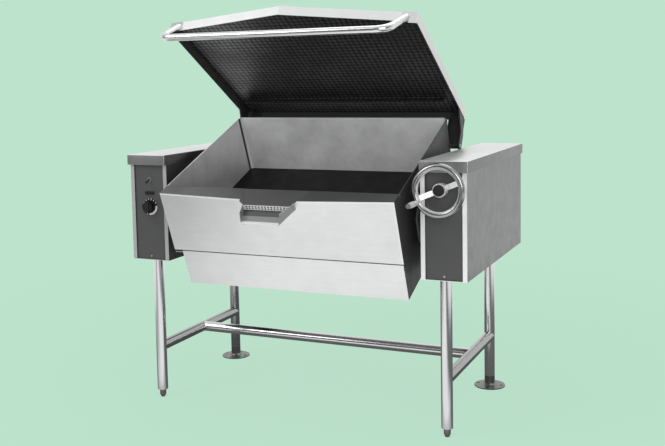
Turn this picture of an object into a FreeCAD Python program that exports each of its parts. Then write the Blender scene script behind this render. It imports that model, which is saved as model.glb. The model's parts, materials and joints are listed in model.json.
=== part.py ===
import FreeCAD, Part
import math
import os
import Sketcher
from FreeCAD import Placement, Rotation, Vector

# Tilting bratt pan: a rectangular electric braising pan hung on two trunnions between two consoles,
# tilted by a handwheel through a worm and worm wheel, with a hinged lid, on a four-legged tube stand.
# Millimetres. X runs to the right, Y to the back, Z up. The origin is on the floor, in the middle of
# the whole object's outline at rest. At rest the pan is tipped forward and the lid stands open.

DRIVING_SIZES = {
    # stand and consoles
    "stand_mid": 90.0,            # middle of the consoles, behind the origin
    "console_top": 950.0,         # top of the caps above the floor
    "console_bottom": 548.0,      # underside of the consoles above the floor
    "console_gap": 1000.0,        # between the inner faces of the consoles
    "console_width": 160.0,
    "console_depth": 796.0,
    "cap_tall": 38.0,
    "cap_front": 12.0,            # how far a cap stands out in front of its console
    "cap_side": 6.0,              # and on its outer side and back
    "cap_seat": 22.0,             # width of the turned-in edge that a cap sits on
    "sheet": 1.5,                 # casing sheet
    "trim_width": 14.0,           # bright front edges of a console
    "trim_return": 9.0,
    "panel_recess": 5.0,
    "fit_gap": 0.4,               # clearance round a panel or a lid
    # legs and stretchers
    "tube_round": 40.0,
    "tube_wall": 2.0,
    "leg_inset": 75.0,            # leg axis from the inner face of its console
    "front_leg_back": 41.0,       # front leg axis from the console front
    "rear_leg_ahead": 175.0,      # rear leg axis from the console back
    "stretcher_up": 201.0,
    "cross_back": 315.0,          # cross stretcher from the front leg axis
    "weld_gap": 0.05,
    "leg_plate": 110.0,
    "leg_plate_deep": 52.0,
    "leg_plate_thick": 6.0,
    "bolt_round": 10.0,
    "bolt_long": 20.0,
    "bolt_gap": 0.25,             # clearance round a bolt in its hole
    "bolt_head": 19.0,            # across the corners
    "bolt_head_tall": 6.5,
    # feet
    "foot_show": 31.0,            # height of a front foot below its tube
    "foot_round": 24.0,
    "foot_tip_round": 15.0,
    "foot_collar": 29.0,
    "foot_collar_tall": 4.0,
    "stem_round": 16.0,
    "stem_long": 34.0,
    "stem_gap": 0.08,
    "insert_tall": 30.0,
    "flange_round": 120.0,
    "flange_thick": 6.0,
    "flange_pitch_round": 92.0,
    "flange_hole": 11.0,
    "flange_cup_tall": 36.0,
    # trunnions and their bearings
    "trunnion_back": 222.0,       # trunnion axis from the console front
    "trunnion_round": 45.0,
    "shaft_room": 7.0,            # clearance round a trunnion where it passes a wall
    "trunnion_flange": 90.0,
    "trunnion_flange_thick": 10.0,
    "doubler_thick": 8.0,
    "doubler_long": 240.0,
    "doubler_up": 92.0,
    "carrier_thick": 8.0,         # heavy plate inside each console
    "carrier_rise": 44.0,         # how far it stands above the worm axis on the right
    "bearing_square": 112.0,
    "bearing_base": 12.0,
    "bearing_boss": 80.0,
    "bearing_long": 36.0,
    "bearing_bolt_pitch": 84.0,
    "bush_wall": 4.5,
    "shaft_bush_wall": 4.0,
    "bush_collar": 2.5,
    "running_gap": 0.06,
    "wiring_bore": 22.0,          # hole through the left trunnion for the heater leads
    # worm drive
    "gear_module": 4.0,
    "wheel_teeth": 48.0,
    "wheel_face": 28.0,
    "wheel_hub_round": 74.0,
    "wheel_hub_long": 46.0,
    "worm_pitch_round": 36.0,
    "worm_long": 74.0,
    "worm_shaft_round": 20.0,
    "tooth_gap": 0.45,            # play between worm and wheel teeth
    "tooth_angle": 20.0,          # slope of a tooth's sides
    "shaft_inset": 4.0,           # front end of the worm shaft behind the hub's front face
    "drive_inset": 75.0,          # middle plane of the drive from the console's inner face
    "bracket_arm": 12.0,
    "bracket_half": 52.0,
    "bracket_tall": 38.0,
    "bracket_base": 8.0,
    "key_wide": 12.0,
    "key_tall": 8.0,
    "key_long": 36.0,
    # handwheel
    "handwheel_down": 95.0,       # wheel and worm axis below the console top
    "wheel_ahead": 42.0,          # middle of the rim in front of the console
    "wheel_dish": 24.0,           # hub behind the middle of the rim
    "wheel_over": 182.0,
    "rim_round": 22.0,
    "hub_round": 46.0,
    "hub_long": 30.0,
    "spoke_wide": 18.0,
    "spoke_thick": 8.0,
    "spoke_slope": 22.0,
    "hub_cap_round": 38.0,
    "hub_cap_thick": 7.0,
    "grip_round": 20.0,
    "grip_long": 84.0,
    "grip_standoff": 12.0,
    "spindle_round": 10.0,
    "spindle_head": 16.0,
    "spindle_head_thick": 5.0,
    "grip_turn": 8.0,             # grip below the spoke bar, as an angle round the rim
    "press_gap": 0.02,            # clearance all round a part that is pressed or pinned on
    # controls on the left console
    "switch_down": 57.0,          # switch below the underside of the cap
    "lamp_below": 51.0,           # lamp below the switch
    "knob_below": 52.0,           # knob below the lamp
    "knob_round": 50.0,
    "knob_deep": 24.0,
    "knob_stem": 6.0,
    "knob_stem_long": 12.0,
    "dial_round": 64.0,
    "dial_thick": 1.5,
    "dial_hole": 8.0,
    "switch_neck": 12.0,
    "switch_proud": 4.0,
    "switch_wide": 22.0,
    "switch_tall": 32.0,
    "switch_deep": 30.0,
    "lever_round": 8.0,
    "lever_root": 4.8,
    "lever_ball": 3.0,
    "lever_long": 22.0,
    "lever_lean": 25.0,
    "lever_pin": 3.0,
    "lever_pin_long": 8.0,
    "lamp_wide": 38.0,
    "lamp_tall": 12.0,
    "lamp_proud": 4.0,
    "lamp_neck": 10.0,
    "stat_wide": 54.0,            # thermostat body behind the dial
    "stat_tall": 42.0,
    "stat_deep": 46.0,
    "contactor_deep": 92.0,       # contactor and terminal block stand off the outer wall
    "contactor_wide": 80.0,
    "contactor_tall": 100.0,
    "contactor_step": 12.0,
    "contactor_over": 90.0,       # contactor's foot above the terminal block's
    "terminal_deep": 34.0,
    "terminal_wide": 110.0,
    "terminal_tall": 32.0,
    "terminal_wall": 4.0,
    "gland_up": 640.0,            # supply gland and terminal block above the floor
    "gland_round": 46.0,
    "gland_bore": 22.0,
    "panel_screw_up": 14.0,
    "screw_head": 9.0,
    "screw_round": 4.0,
    # pan, measured about the trunnion axis
    "pan_tilt_rest": 21.85,       # how far the pan is tipped at rest
    "pan_width": 902.0,
    "pan_depth": 656.0,
    "pan_ahead": 288.0,           # front face in front of the trunnion axis
    "rim_up": 204.0,              # rim above the trunnion axis
    "pan_inside": 236.0,          # rim down to the cooking surface
    "pan_over": 384.0,            # rim down to the bottom cover
    "pan_sheet": 2.0,
    "plate_thick": 15.0,
    "pan_corner": 20.0,
    "ledge": 56.0,                # flat pouring ledge at the front
    "rim_point": 26.0,            # how far the front rim stands out in the middle
    "seam_down": 243.0,
    "skin_return": 22.0,
    "box_inset_left": 33.0,       # heater casing inside the pan's left side
    "box_inset_right": 2.0,
    "rim_hem": 12.0,
    "hem_thick": 1.2,
    # pouring spout
    "funnel_back_half": 135.0,
    "funnel_front_half": 101.0,
    "funnel_floor_half": 90.0,
    "funnel_drop": 12.0,
    "funnel_edge": 0.5,
    "strainer_ahead": 36.0,       # strainer plate in front of the front face line
    "strainer_tall": 18.0,
    "strainer_gap": 0.3,
    "strainer_thick": 1.5,
    "strainer_hole": 6.0,
    "strainer_pitch": 12.0,
    "spout_tip": 92.0,            # tops of the chute's sides in front of the front face line
    "spout_lip": 14.0,            # lip in front of the tops of the sides
    "spout_tip_half": 73.0,
    "spout_back_half": 98.0,
    "spout_top_down": 9.0,
    "spout_mid_down": 33.0,
    "spout_back_down": 25.0,
    "spout_tip_down": 43.0,
    "stud_round": 8.0,
    "stud_long": 5.0,
    # heaters
    "element_round": 9.0,
    "element_long": 500.0,
    "element_bend": 36.0,
    "element_pitch": 132.0,
    "element_gap": 0.1,           # play of an element between the plate and its clamp
    "clamp_wide": 26.0,
    "clamp_thick": 5.0,
    "clamp_post": 12.0,
    "insulation_thick": 45.0,
    # lid, measured shut
    "lid_open_rest": 53.1,        # how far the lid stands open at rest
    "lid_half": 483.0,
    "lid_above": 30.0,            # lid top above the rim when shut
    "lid_deep": 36.0,
    "lid_side": 684.0,
    "lid_point": 79.0,            # how far the front stands out in the middle
    "lid_ahead": 5.0,             # front corners in front of the front face line
    "lid_sheet": 1.5,
    "hinge_behind": 14.0,         # hinge axis behind the pan's rear wall
    "hinge_down": 125.0,          # hinge axis below the rim
    "hinge_shaft": 16.0,
    "hinge_box_deep": 36.0,
    "hinge_box_tall": 44.0,
    "arm_thick": 5.0,
    "arm_wide": 34.0,
    "arm_across": 60.0,           # width of each channel-shaped lid arm
    "arm_gap": 1.5,               # clearance of an arm from the pan and from the hinge housing
    "cheek_thick": 12.0,
    "spring_over": 25.0,
    "spring_start": 60.0,         # inner end of each spring from the middle
    "spring_long": 300.0,
    "handle_tube": 26.0,
    "handle_wall": 2.0,
    "handle_half": 430.0,
    "handle_ahead": 109.0,        # handle bar in front of the lid's front corners
    "handle_down": 134.0,         # handle bar below the lid top
    "handle_bend": 46.0,
    "handle_foot_half": 446.0,
    "handle_pad_wide": 28.0,      # corner pad that each end of the handle stands beside
    "handle_pad_tall": 44.0,
    "handle_foot_down": 20.0,
    "baffle_ahead": 118.0,        # drip baffle in front of the lid's rear edge
    "baffle_half": 428.0,
    "baffle_tall": 42.0,
    "baffle_lean": 35.0,
    "baffle_flange": 12.0,
}


class Size:
    """A length or count that knows its number and the sheet expression that gives it."""

    def __init__(self, value, text):
        self.value = float(value)
        self.text = text

    def __add__(self, other):
        other = as_size(other)
        return Size(self.value + other.value, f"({self.text} + {other.text})")

    def __sub__(self, other):
        other = as_size(other)
        return Size(self.value - other.value, f"({self.text} - {other.text})")

    def __mul__(self, other):
        other = as_size(other)
        return Size(self.value * other.value, f"({self.text} * {other.text})")

    def __truediv__(self, other):
        other = as_size(other)
        return Size(self.value / other.value, f"({self.text} / {other.text})")

    def __neg__(self):
        return Size(-self.value, f"(0 - {self.text})")

    def __radd__(self, other):
        return as_size(other) + self

    def __rsub__(self, other):
        return as_size(other) - self

    def __rmul__(self, other):
        return as_size(other) * self

    def __float__(self):
        return self.value


def as_size(number):
    if isinstance(number, Size):
        return number
    return Size(number, f"{float(number):.6f}")


class SizeSheet:
    """The spreadsheet of driving sizes. Each size is read by its name, as in g.console_width."""

    def __init__(self, document, sizes):
        self.cells = document.addObject("Spreadsheet::Sheet", "Sizes")
        for row, (name, value) in enumerate(sizes.items(), start=1):
            self.cells.set(f"A{row}", name)
            self.cells.set(f"B{row}", str(value))
            self.cells.setAlias(f"B{row}", name)
        document.recompute()
        self.names = set(sizes)

    def __getattr__(self, name):
        if name.startswith("__") or name not in self.names:
            raise AttributeError(name)
        return Size(self.cells.get(name), f"Sizes.{name}")


ELEMENTS = 6     # hairpin heating elements under the cooking plate
TERMINALS = 5    # ways of the supply's terminal block
LIGHTENING = 6   # round holes in the worm wheel's web

doc = FreeCAD.newDocument("tilting_bratt_pan")
g = SizeSheet(doc, DRIVING_SIZES)
NODES = []


def bind(thing, place, size):
    """Ties one property of an object to the sheet."""
    thing.setExpression(place, as_size(size).text)


# Sketches and features of the bodies

def new_body(name, frame=None):
    made = doc.addObject("PartDesign::Body", name)
    made.Label = name
    if frame is not None:
        made.Placement = frame
    NODES.append(made)
    return made


def origin_plane(body, role):
    return next(f for f in body.Origin.OriginFeatures if f.Role == role)


def new_sketch(body, role, offset=0.0):
    """A sketch on an origin plane of its own body. XZ sketches face -Y, so their offset runs to -Y."""
    sketch = body.newObject("Sketcher::SketchObject", body.Label + "_sketch")
    sketch.AttachmentSupport = [(origin_plane(body, role), "")]
    sketch.MapMode = "FlatFace"
    sketch.AttachmentOffset = Placement(Vector(0, 0, float(offset)), Rotation())
    bind(sketch, "AttachmentOffset.Base.z", offset)
    return sketch


def pin_point(sketch, edge, end, u, v):
    """Holds one point of a sketch at distances from the sketch origin."""
    for kind, size in (("DistanceX", u), ("DistanceY", v)):
        size = as_size(size)
        index = sketch.addConstraint(Sketcher.Constraint(kind, -1, 1, edge, end, size.value))
        sketch.setExpression(f"Constraints[{index}]", size.text)


def way(start, end):
    """Direction from one corner to the next, along whichever axis they differ most."""
    du, dv = end[0].value - start[0].value, end[1].value - start[1].value
    if abs(du) > abs(dv):
        return (1 if du > 0 else -1, 0)
    return (0, 1 if dv > 0 else -1)


def outline(sketch, corners):
    """A closed outline of straight lines through corners, each given as two sizes.

    A square corner with a third size is rounded to that radius.
    """
    corners = [tuple(as_size(size) for size in corner) for corner in corners]
    count = len(corners)
    arrivals, departures = [], []
    for k, corner in enumerate(corners):
        u, v = corner[:2]
        if len(corner) == 3:
            radius = corner[2]
            came, goes = way(corners[k - 1], corner), way(corner, corners[(k + 1) % count])
            arrivals.append((u - came[0] * radius, v - came[1] * radius))
            departures.append((u + goes[0] * radius, v + goes[1] * radius))
        else:
            arrivals.append((u, v))
            departures.append((u, v))
    lines = []
    for k in range(count):
        start, end = departures[k], arrivals[(k + 1) % count]
        first, last = Vector(start[0].value, start[1].value, 0), Vector(end[0].value, end[1].value, 0)
        lines.append(sketch.addGeometry(Part.LineSegment(first, last), False))
        pin_point(sketch, lines[k], 1, *start)
    for k, corner in enumerate(corners):
        before, after = lines[k - 1], lines[k]
        if len(corner) == 2:
            sketch.addConstraint(Sketcher.Constraint("Coincident", before, 2, after, 1))
            continue
        pin_point(sketch, before, 2, *arrivals[k])
        round_corner(sketch, before, after, arrivals[k], departures[k], corner)


def round_corner(sketch, before, after, arrival, departure, corner):
    """An arc between the line that arrives at a corner and the line that leaves it."""
    u, v, radius = corner
    centre = (arrival[0].value + departure[0].value - u.value, arrival[1].value + departure[1].value - v.value)
    first = math.atan2(arrival[1].value - centre[1], arrival[0].value - centre[0])
    last = math.atan2(departure[1].value - centre[1], departure[0].value - centre[0])
    left_turn = math.sin(last - first) > 0
    angles = (first, last) if left_turn else (last, first)
    whole = Part.Circle(Vector(centre[0], centre[1], 0), Vector(0, 0, 1), radius.value)
    arc = sketch.addGeometry(Part.ArcOfCircle(whole, *angles), False)
    start, end = (1, 2) if left_turn else (2, 1)
    sketch.addConstraint(Sketcher.Constraint("Coincident", before, 2, arc, start))
    sketch.addConstraint(Sketcher.Constraint("Coincident", arc, end, after, 1))
    index = sketch.addConstraint(Sketcher.Constraint("Radius", arc, radius.value))
    sketch.setExpression(f"Constraints[{index}]", radius.text)


def rectangle(sketch, u0, v0, u1, v1):
    outline(sketch, [(u0, v0), (u1, v0), (u1, v1), (u0, v1)])


def circle(sketch, u, v, across):
    across = as_size(across)
    centre = Vector(float(u), float(v), 0)
    edge = sketch.addGeometry(Part.Circle(centre, Vector(0, 0, 1), across.value / 2), False)
    pin_point(sketch, edge, 3, u, v)
    index = sketch.addConstraint(Sketcher.Constraint("Diameter", edge, across.value))
    sketch.setExpression(f"Constraints[{index}]", across.text)


def feature(body, kind, sketch, length, reverse=False, both=False):
    made = body.newObject("PartDesign::" + kind, body.Label + "_" + kind.lower())
    made.Profile = sketch
    made.Reversed = reverse
    if both:
        made.SideType = "Symmetric"
    made.Length = float(length)
    bind(made, "Length", length)
    sketch.Visibility = False
    return made


def pad(body, sketch, length, reverse=False, both=False):
    return feature(body, "Pad", sketch, length, reverse, both)


def pocket(body, sketch, length, both=False):
    return feature(body, "Pocket", sketch, length, both=both)


def revolve(body, sketch, axis="V_Axis"):
    made = body.newObject("PartDesign::Revolution", body.Label + "_revolution")
    made.Profile = sketch
    made.ReferenceAxis = (sketch, [axis])
    made.Angle = 360.0
    return made


def block(body, low, high):
    """Pads a box between two corners."""
    sketch = new_sketch(body, "XY_Plane", low[2])
    rectangle(sketch, low[0], low[1], high[0], high[1])
    return pad(body, sketch, high[2] - low[2])


def cut_block(body, low, high):
    """Pockets a box between two corners. A pocket cuts against its sketch's facing, so from the top down."""
    sketch = new_sketch(body, "XY_Plane", high[2])
    rectangle(sketch, low[0], low[1], high[0], high[1])
    return pocket(body, sketch, high[2] - low[2])


def rod(body, role, offset, u, v, across, length, reverse=False):
    sketch = new_sketch(body, role, offset)
    circle(sketch, u, v, across)
    return pad(body, sketch, length, reverse)


def bore(body, role, offset, u, v, across, length, both=False):
    sketch = new_sketch(body, role, offset)
    circle(sketch, u, v, across)
    return pocket(body, sketch, length, both=both)


def bores(body, role, offset, places, across, length, both=False):
    sketch = new_sketch(body, role, offset)
    for u, v in places:
        circle(sketch, u, v, across)
    return pocket(body, sketch, length, both=both)


def corners_of(u, v, pitch_u, pitch_v):
    """Four hole places on a rectangle."""
    return [(u + a * pitch_u / 2, v + b * pitch_v / 2) for a in (-1, 1) for b in (-1, 1)]


def round_edges(body, radius, wanted):
    """Fillets the edges of the tip whose ends pass the test."""
    doc.recompute()
    tip = body.Tip
    names = []
    for index, edge in enumerate(tip.Shape.Edges, start=1):
        if len(edge.Vertexes) == 2 and wanted(edge.Vertexes[0].Point, edge.Vertexes[1].Point):
            names.append(f"Edge{index}")
    made = body.newObject("PartDesign::Fillet", body.Label + "_fillet")
    made.Base = (tip, names)
    made.Radius = float(radius)
    bind(made, "Radius", radius)
    return made


def plain_solids(name, shape, frame=None):
    """A node whose shape is made by the geometry kernel's own functions from the sheet's sizes."""
    made = doc.addObject("Part::Feature", name)
    made.Label = name
    made.Shape = shape
    if frame is not None:
        made.Placement = frame
    NODES.append(made)


# Places that several pieces share

X = Vector(1, 0, 0)
Y = Vector(0, 1, 0)
Z = Vector(0, 0, 1)

console_front = g.stand_mid - g.console_depth / 2
console_back = g.stand_mid + g.console_depth / 2
inner_face = g.console_gap / 2
outer_face = inner_face + g.console_width
leg_out = inner_face + g.leg_inset
front_leg_y = console_front + g.front_leg_back
rear_leg_y = console_back - g.rear_leg_ahead
cross_y = front_leg_y + g.cross_back
shell_top = g.console_top - g.cap_tall
trunnion_y = console_front + g.trunnion_back
wheel_radius = g.gear_module * g.wheel_teeth / 2
worm_radius = g.worm_pitch_round / 2
handwheel_z = g.console_top - g.handwheel_down
trunnion_z = handwheel_z - wheel_radius - worm_radius
drive_x = inner_face + g.drive_inset

pan_frame = Placement(Vector(0, trunnion_y.value, trunnion_z.value), Rotation(X, g.pan_tilt_rest.value))

front = -g.pan_ahead
rear = g.pan_depth - g.pan_ahead
floor_z = g.rim_up - g.pan_inside
plate_under = floor_z - g.plate_thick
bottom_z = g.rim_up - g.pan_over
seam_z = g.rim_up - g.seam_down
half = g.pan_width / 2
inner_half = half - g.pan_sheet
ledge_back = front + g.ledge
strainer_y = front - g.strainer_ahead

hinge_y = rear + g.hinge_behind
hinge_z = g.rim_up - g.hinge_down
hinge_at = Vector(0, hinge_y.value, hinge_z.value)
lid_turn = Placement(Vector(0, 0, 0), Rotation(X, -g.lid_open_rest.value), hinge_at)
lid_frame = pan_frame.multiply(lid_turn)

panel_x = inner_face + g.console_width / 2
screw_z = g.console_bottom + g.panel_screw_up
switch_z = shell_top - g.switch_down
lamp_z = switch_z - g.lamp_below
knob_z = lamp_z - g.knob_below


def mirror_word(side):
    return "right" if side > 0 else "left"


# Stand: legs, stretchers and feet

def tube_solid(start, end, across, wall):
    """A straight round tube between two points."""
    run = end - start
    outside = Part.makeCylinder(across / 2, run.Length, start, run)
    return outside.cut(Part.makeCylinder(across / 2 - wall, run.Length, start, run))


def leg(side, y, word, tube_low):
    """Tube with a threaded plug welded in at each end: the foot screws in below, a bolt from above."""
    name = f"{word}_{mirror_word(side)}_leg"
    made = new_body(name, Placement(Vector(side * leg_out.value, y.value, 0), Rotation()))
    outside, inside = g.tube_round / 2, g.tube_round / 2 - g.tube_wall
    foot_thread, bolt_thread = g.stem_round / 2 + g.stem_gap, g.bolt_round / 2 + g.stem_gap
    top = g.console_bottom
    sketch = new_sketch(made, "XZ_Plane")
    outline(sketch, [
        (outside, tube_low), (outside, top), (bolt_thread, top), (bolt_thread, top - g.insert_tall),
        (inside, top - g.insert_tall), (inside, tube_low + g.insert_tall),
        (foot_thread, tube_low + g.insert_tall), (foot_thread, tube_low),
    ])
    revolve(made, sketch)


def coped_tube(name, start, end, saddles):
    """A stretcher whose ends are cut to sit round the tubes that they meet."""
    shape = tube_solid(start, end, g.tube_round.value, g.tube_wall.value)
    for at, direction in saddles:
        reach = 4 * g.tube_round.value
        base = at - direction * (reach / 2)
        shape = shape.cut(Part.makeCylinder(g.tube_round.value / 2 + g.weld_gap.value, reach, base, direction))
    plain_solids(name, shape)


def make_stand():
    front_low = g.foot_show
    rear_low = g.flange_thick + g.flange_cup_tall
    for side in (-1, 1):
        leg(side, front_leg_y, "front", front_low)
        leg(side, rear_leg_y, "rear", rear_low)
        x = side * leg_out.value
        z = g.stretcher_up.value
        ahead = Vector(x, front_leg_y.value, z)
        behind = Vector(x, rear_leg_y.value, z)
        coped_tube(mirror_word(side) + "_stretcher", ahead, behind, [(ahead, Z), (behind, Z)])
    left = Vector(-leg_out.value, cross_y.value, g.stretcher_up.value)
    right = Vector(leg_out.value, cross_y.value, g.stretcher_up.value)
    coped_tube("cross_stretcher", left, right, [(left, Y), (right, Y)])


def bullet_foot(side):
    """Screw-in front foot: a collar and a tapering tip on a threaded stem."""
    made = new_body(f"front_{mirror_word(side)}_foot",
                    Placement(Vector(side * leg_out.value, front_leg_y.value, 0), Rotation()))
    sketch = new_sketch(made, "XZ_Plane")
    top = g.foot_show
    outline(sketch, [
        (0, 0),
        (g.foot_tip_round / 2, 0),
        (g.foot_round / 2, g.foot_show / 3),
        (g.foot_round / 2, top - g.foot_collar_tall),
        (g.foot_collar / 2, top - g.foot_collar_tall),
        (g.foot_collar / 2, top),
        (g.stem_round / 2, top),
        (g.stem_round / 2, top + g.stem_long),
        (0, top + g.stem_long),
    ])
    revolve(made, sketch)


def flange_foot(side):
    """Rear foot for bolting down: a round flange, a cup the size of the tube and a threaded stem."""
    made = new_body(f"rear_{mirror_word(side)}_foot",
                    Placement(Vector(side * leg_out.value, rear_leg_y.value, 0), Rotation()))
    sketch = new_sketch(made, "XZ_Plane")
    top = g.flange_thick + g.flange_cup_tall
    outline(sketch, [
        (0, 0),
        (g.flange_round / 2, 0),
        (g.flange_round / 2, g.flange_thick * 0.6),
        (g.tube_round / 2 + g.flange_thick, g.flange_thick),
        (g.tube_round / 2, g.flange_thick * 2),
        (g.tube_round / 2, top),
        (g.stem_round / 2, top),
        (g.stem_round / 2, top + g.stem_long),
        (0, top + g.stem_long),
    ])
    revolve(made, sketch)
    ring = g.flange_pitch_round / 2
    sketch = new_sketch(made, "XY_Plane", g.flange_thick)
    for u, v in ((ring, 0), (-ring, 0), (0, ring), (0, -ring)):
        circle(sketch, u, v, g.flange_hole)
    pocket(made, sketch, g.flange_thick)


def frame_bolt(at, direction):
    """One hexagon-headed bolt: its head's seat at a point, its shank along a direction."""
    shank = Part.makeCylinder(g.bolt_round.value / 2, g.bolt_long.value, at, direction)
    corner = g.bolt_head.value / 2
    aside = direction.cross(Y if abs(direction.y) < 0.5 else X).normalize()
    across = direction.cross(aside)
    corners = []
    for k in range(7):
        turn = math.radians(60 * k)
        corners.append(at + aside * (corner * math.cos(turn)) + across * (corner * math.sin(turn)))
    head = Part.Face(Part.makePolygon(corners)).extrude(direction * -g.bolt_head_tall.value)
    return shank.fuse(head).removeSplitter()


def frame_bolts():
    """The bolts that hold the bearings to their carrier plates and the consoles to the legs."""
    bolts = []
    for side in (-1, 1):
        seat = side * (inner_face + g.sheet + g.carrier_thick + g.bearing_base).value
        for y, z in corners_of(trunnion_y.value, trunnion_z.value,
                               g.bearing_bolt_pitch.value, g.bearing_bolt_pitch.value):
            bolts.append(frame_bolt(Vector(seat, y, z), X * -side))
        top = (g.console_bottom + g.sheet + g.leg_plate_thick).value
        for y in (front_leg_y.value, rear_leg_y.value):
            bolts.append(frame_bolt(Vector(side * leg_out.value, y, top), -Z))
    plain_solids("frame_bolts", Part.makeCompound(bolts))


# Consoles

def console_shell(side):
    made = new_body(mirror_word(side) + "_console_shell")
    x_in, x_out = side * inner_face, side * outer_face
    wall = side * g.sheet
    block(made, (x_in, console_front, g.console_bottom), (x_out, console_back, shell_top))
    cut_block(made, (x_in + wall, console_front + g.sheet, g.console_bottom + g.sheet),
              (x_out - wall, console_back - g.sheet, shell_top))
    trim = side * g.trim_width
    cut_block(made, (x_in + trim, console_front, g.console_bottom + g.sheet),
              (x_out - trim, console_front + g.sheet, shell_top))
    for edge in (x_in + trim, x_out - trim - wall):
        block(made, (edge, console_front, g.console_bottom + g.sheet),
              (edge + wall, console_front + g.trim_return, shell_top))
    middle = x_in + wall / 2
    hole = g.trunnion_round + 2 * g.shaft_room
    bore(made, "YZ_Plane", middle, trunnion_y, trunnion_z, hole, 2 * g.sheet, both=True)
    if side < 0:
        gland_hole = g.gland_bore + 2 * g.bush_wall + 2 * g.fit_gap
        bore(made, "XZ_Plane", -console_back, -panel_x, g.gland_up, gland_hole, 4 * g.sheet, both=True)
    bolt_hole = g.bolt_round + 2 * g.bolt_gap
    places = [(side * leg_out, front_leg_y), (side * leg_out, rear_leg_y)]
    bores(made, "XY_Plane", g.console_bottom, places, bolt_hole, 4 * g.sheet, both=True)
    places = corners_of(trunnion_y, trunnion_z, g.bearing_bolt_pitch, g.bearing_bolt_pitch)
    bores(made, "YZ_Plane", middle, places, bolt_hole, 2 * g.sheet, both=True)


def console_cap(side):
    """Pressed cap: top sheet, deep turned-down edges and a narrow turned-in seat."""
    made = new_body(mirror_word(side) + "_console_cap")
    x_in, x_out = side * inner_face, side * (outer_face + g.cap_side)
    wall = side * g.sheet
    y0, y1 = console_front - g.cap_front, console_back + g.cap_side
    block(made, (x_in, y0, shell_top), (x_out, y1, g.console_top))
    cut_block(made, (x_in + wall, y0 + g.sheet, shell_top),
              (x_out - wall, y1 - g.sheet, g.console_top - g.sheet))
    sketch = new_sketch(made, "XY_Plane", shell_top)
    seat = side * g.cap_seat
    rectangle(sketch, x_in, y0, x_out, y1)
    rectangle(sketch, x_in + seat, y0 + g.cap_seat, x_out - seat, y1 - g.cap_seat)
    pad(made, sketch, g.sheet)


def console_panel(side, holes):
    """Recessed front panel: a flat sheet with side edges turned back, set between the bright trims."""
    made = new_body(mirror_word(side) + "_front_panel")
    shift = side * (g.trim_width + g.sheet + g.fit_gap)
    x_in, x_out = side * inner_face + shift, side * outer_face - shift
    y0 = console_front + g.panel_recess
    low, high = g.console_bottom + g.sheet + g.fit_gap, shell_top - g.fit_gap
    block(made, (x_in, y0, low), (x_out, y0 + g.sheet, high))
    wall = side * g.sheet
    for edge in (x_in, x_out - wall):
        block(made, (edge, y0, low), (edge + wall, y0 + g.trim_return, high))
    for u, v, across in holes:
        bore(made, "XZ_Plane", -(y0 + g.sheet / 2), u, v, across, 4 * g.sheet, both=True)


def carrier_plate(side):
    """Heavy plate that stands on the leg plates inside a console and carries the trunnion bearing."""
    made = new_body(mirror_word(side) + "_carrier_plate")
    x0 = side * (inner_face + g.sheet)
    low = g.console_bottom + g.sheet + g.leg_plate_thick
    top = handwheel_z + g.carrier_rise if side > 0 else trunnion_z + g.bearing_square
    reach = g.bracket_half + 2 * g.bracket_arm
    sketch = new_sketch(made, "YZ_Plane", x0)
    outline(sketch, [
        (front_leg_y - g.leg_plate_deep / 2, low),
        (rear_leg_y + g.leg_plate_deep / 2, low),
        (rear_leg_y + g.leg_plate_deep / 2, low + g.leg_plate_deep),
        (trunnion_y + g.bearing_square, trunnion_z + g.bearing_square / 2),
        (trunnion_y + reach, top),
        (trunnion_y - reach, top),
        (trunnion_y - g.bearing_square, trunnion_z + g.bearing_square / 2),
        (front_leg_y - g.leg_plate_deep / 2, low + g.leg_plate_deep),
    ])
    pad(made, sketch, g.carrier_thick, reverse=side < 0)
    deep = g.leg_plate_deep / 2
    for y in (front_leg_y, rear_leg_y):
        block(made, (x0, y - deep, low - g.leg_plate_thick),
              (side * (leg_out + g.leg_plate / 2), y + deep, low))
    middle = x0 + side * g.carrier_thick / 2
    hole = g.trunnion_round + 2 * g.shaft_room
    bore(made, "YZ_Plane", middle, trunnion_y, trunnion_z, hole, 2 * g.carrier_thick, both=True)
    bolt_hole = g.bolt_round + 2 * g.bolt_gap
    places = corners_of(trunnion_y, trunnion_z, g.bearing_bolt_pitch, g.bearing_bolt_pitch)
    bores(made, "YZ_Plane", middle, places, bolt_hole, 2 * g.carrier_thick, both=True)
    places = [(side * leg_out, front_leg_y), (side * leg_out, rear_leg_y)]
    bores(made, "XY_Plane", low - g.leg_plate_thick, places, bolt_hole, 2 * g.leg_plate_thick, both=True)


def trunnion_bearing(side):
    """Square flange bearing with four bolt holes, bored for a bronze bush."""
    made = new_body(mirror_word(side) + "_trunnion_bearing")
    x0 = side * (inner_face + g.sheet + g.carrier_thick)
    square = g.bearing_square / 2
    sketch = new_sketch(made, "YZ_Plane", x0)
    rectangle(sketch, trunnion_y - square, trunnion_z - square, trunnion_y + square, trunnion_z + square)
    pad(made, sketch, g.bearing_base, reverse=side < 0)
    round_edges(made, g.bearing_base, lambda a, b: abs(a.x - b.x) > 1)
    rod(made, "YZ_Plane", x0, trunnion_y, trunnion_z, g.bearing_boss, g.bearing_long, reverse=side < 0)
    middle = x0 + side * g.bearing_long / 2
    outside = g.trunnion_round + 2 * g.bush_wall
    bore(made, "YZ_Plane", middle, trunnion_y, trunnion_z, outside, 2 * g.bearing_long, both=True)
    places = corners_of(trunnion_y, trunnion_z, g.bearing_bolt_pitch, g.bearing_bolt_pitch)
    bores(made, "YZ_Plane", middle, places, g.bolt_round + 2 * g.bolt_gap, 2 * g.bearing_long, both=True)


# Worm drive in the right console

def tooth_outline(radius_shift):
    """Half widths of a wheel tooth and of its space, from the pitch circle outwards."""
    quarter = math.pi * g.gear_module.value / 4
    return quarter - g.tooth_gap.value / 2 - radius_shift * math.tan(math.radians(g.tooth_angle.value))


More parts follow.
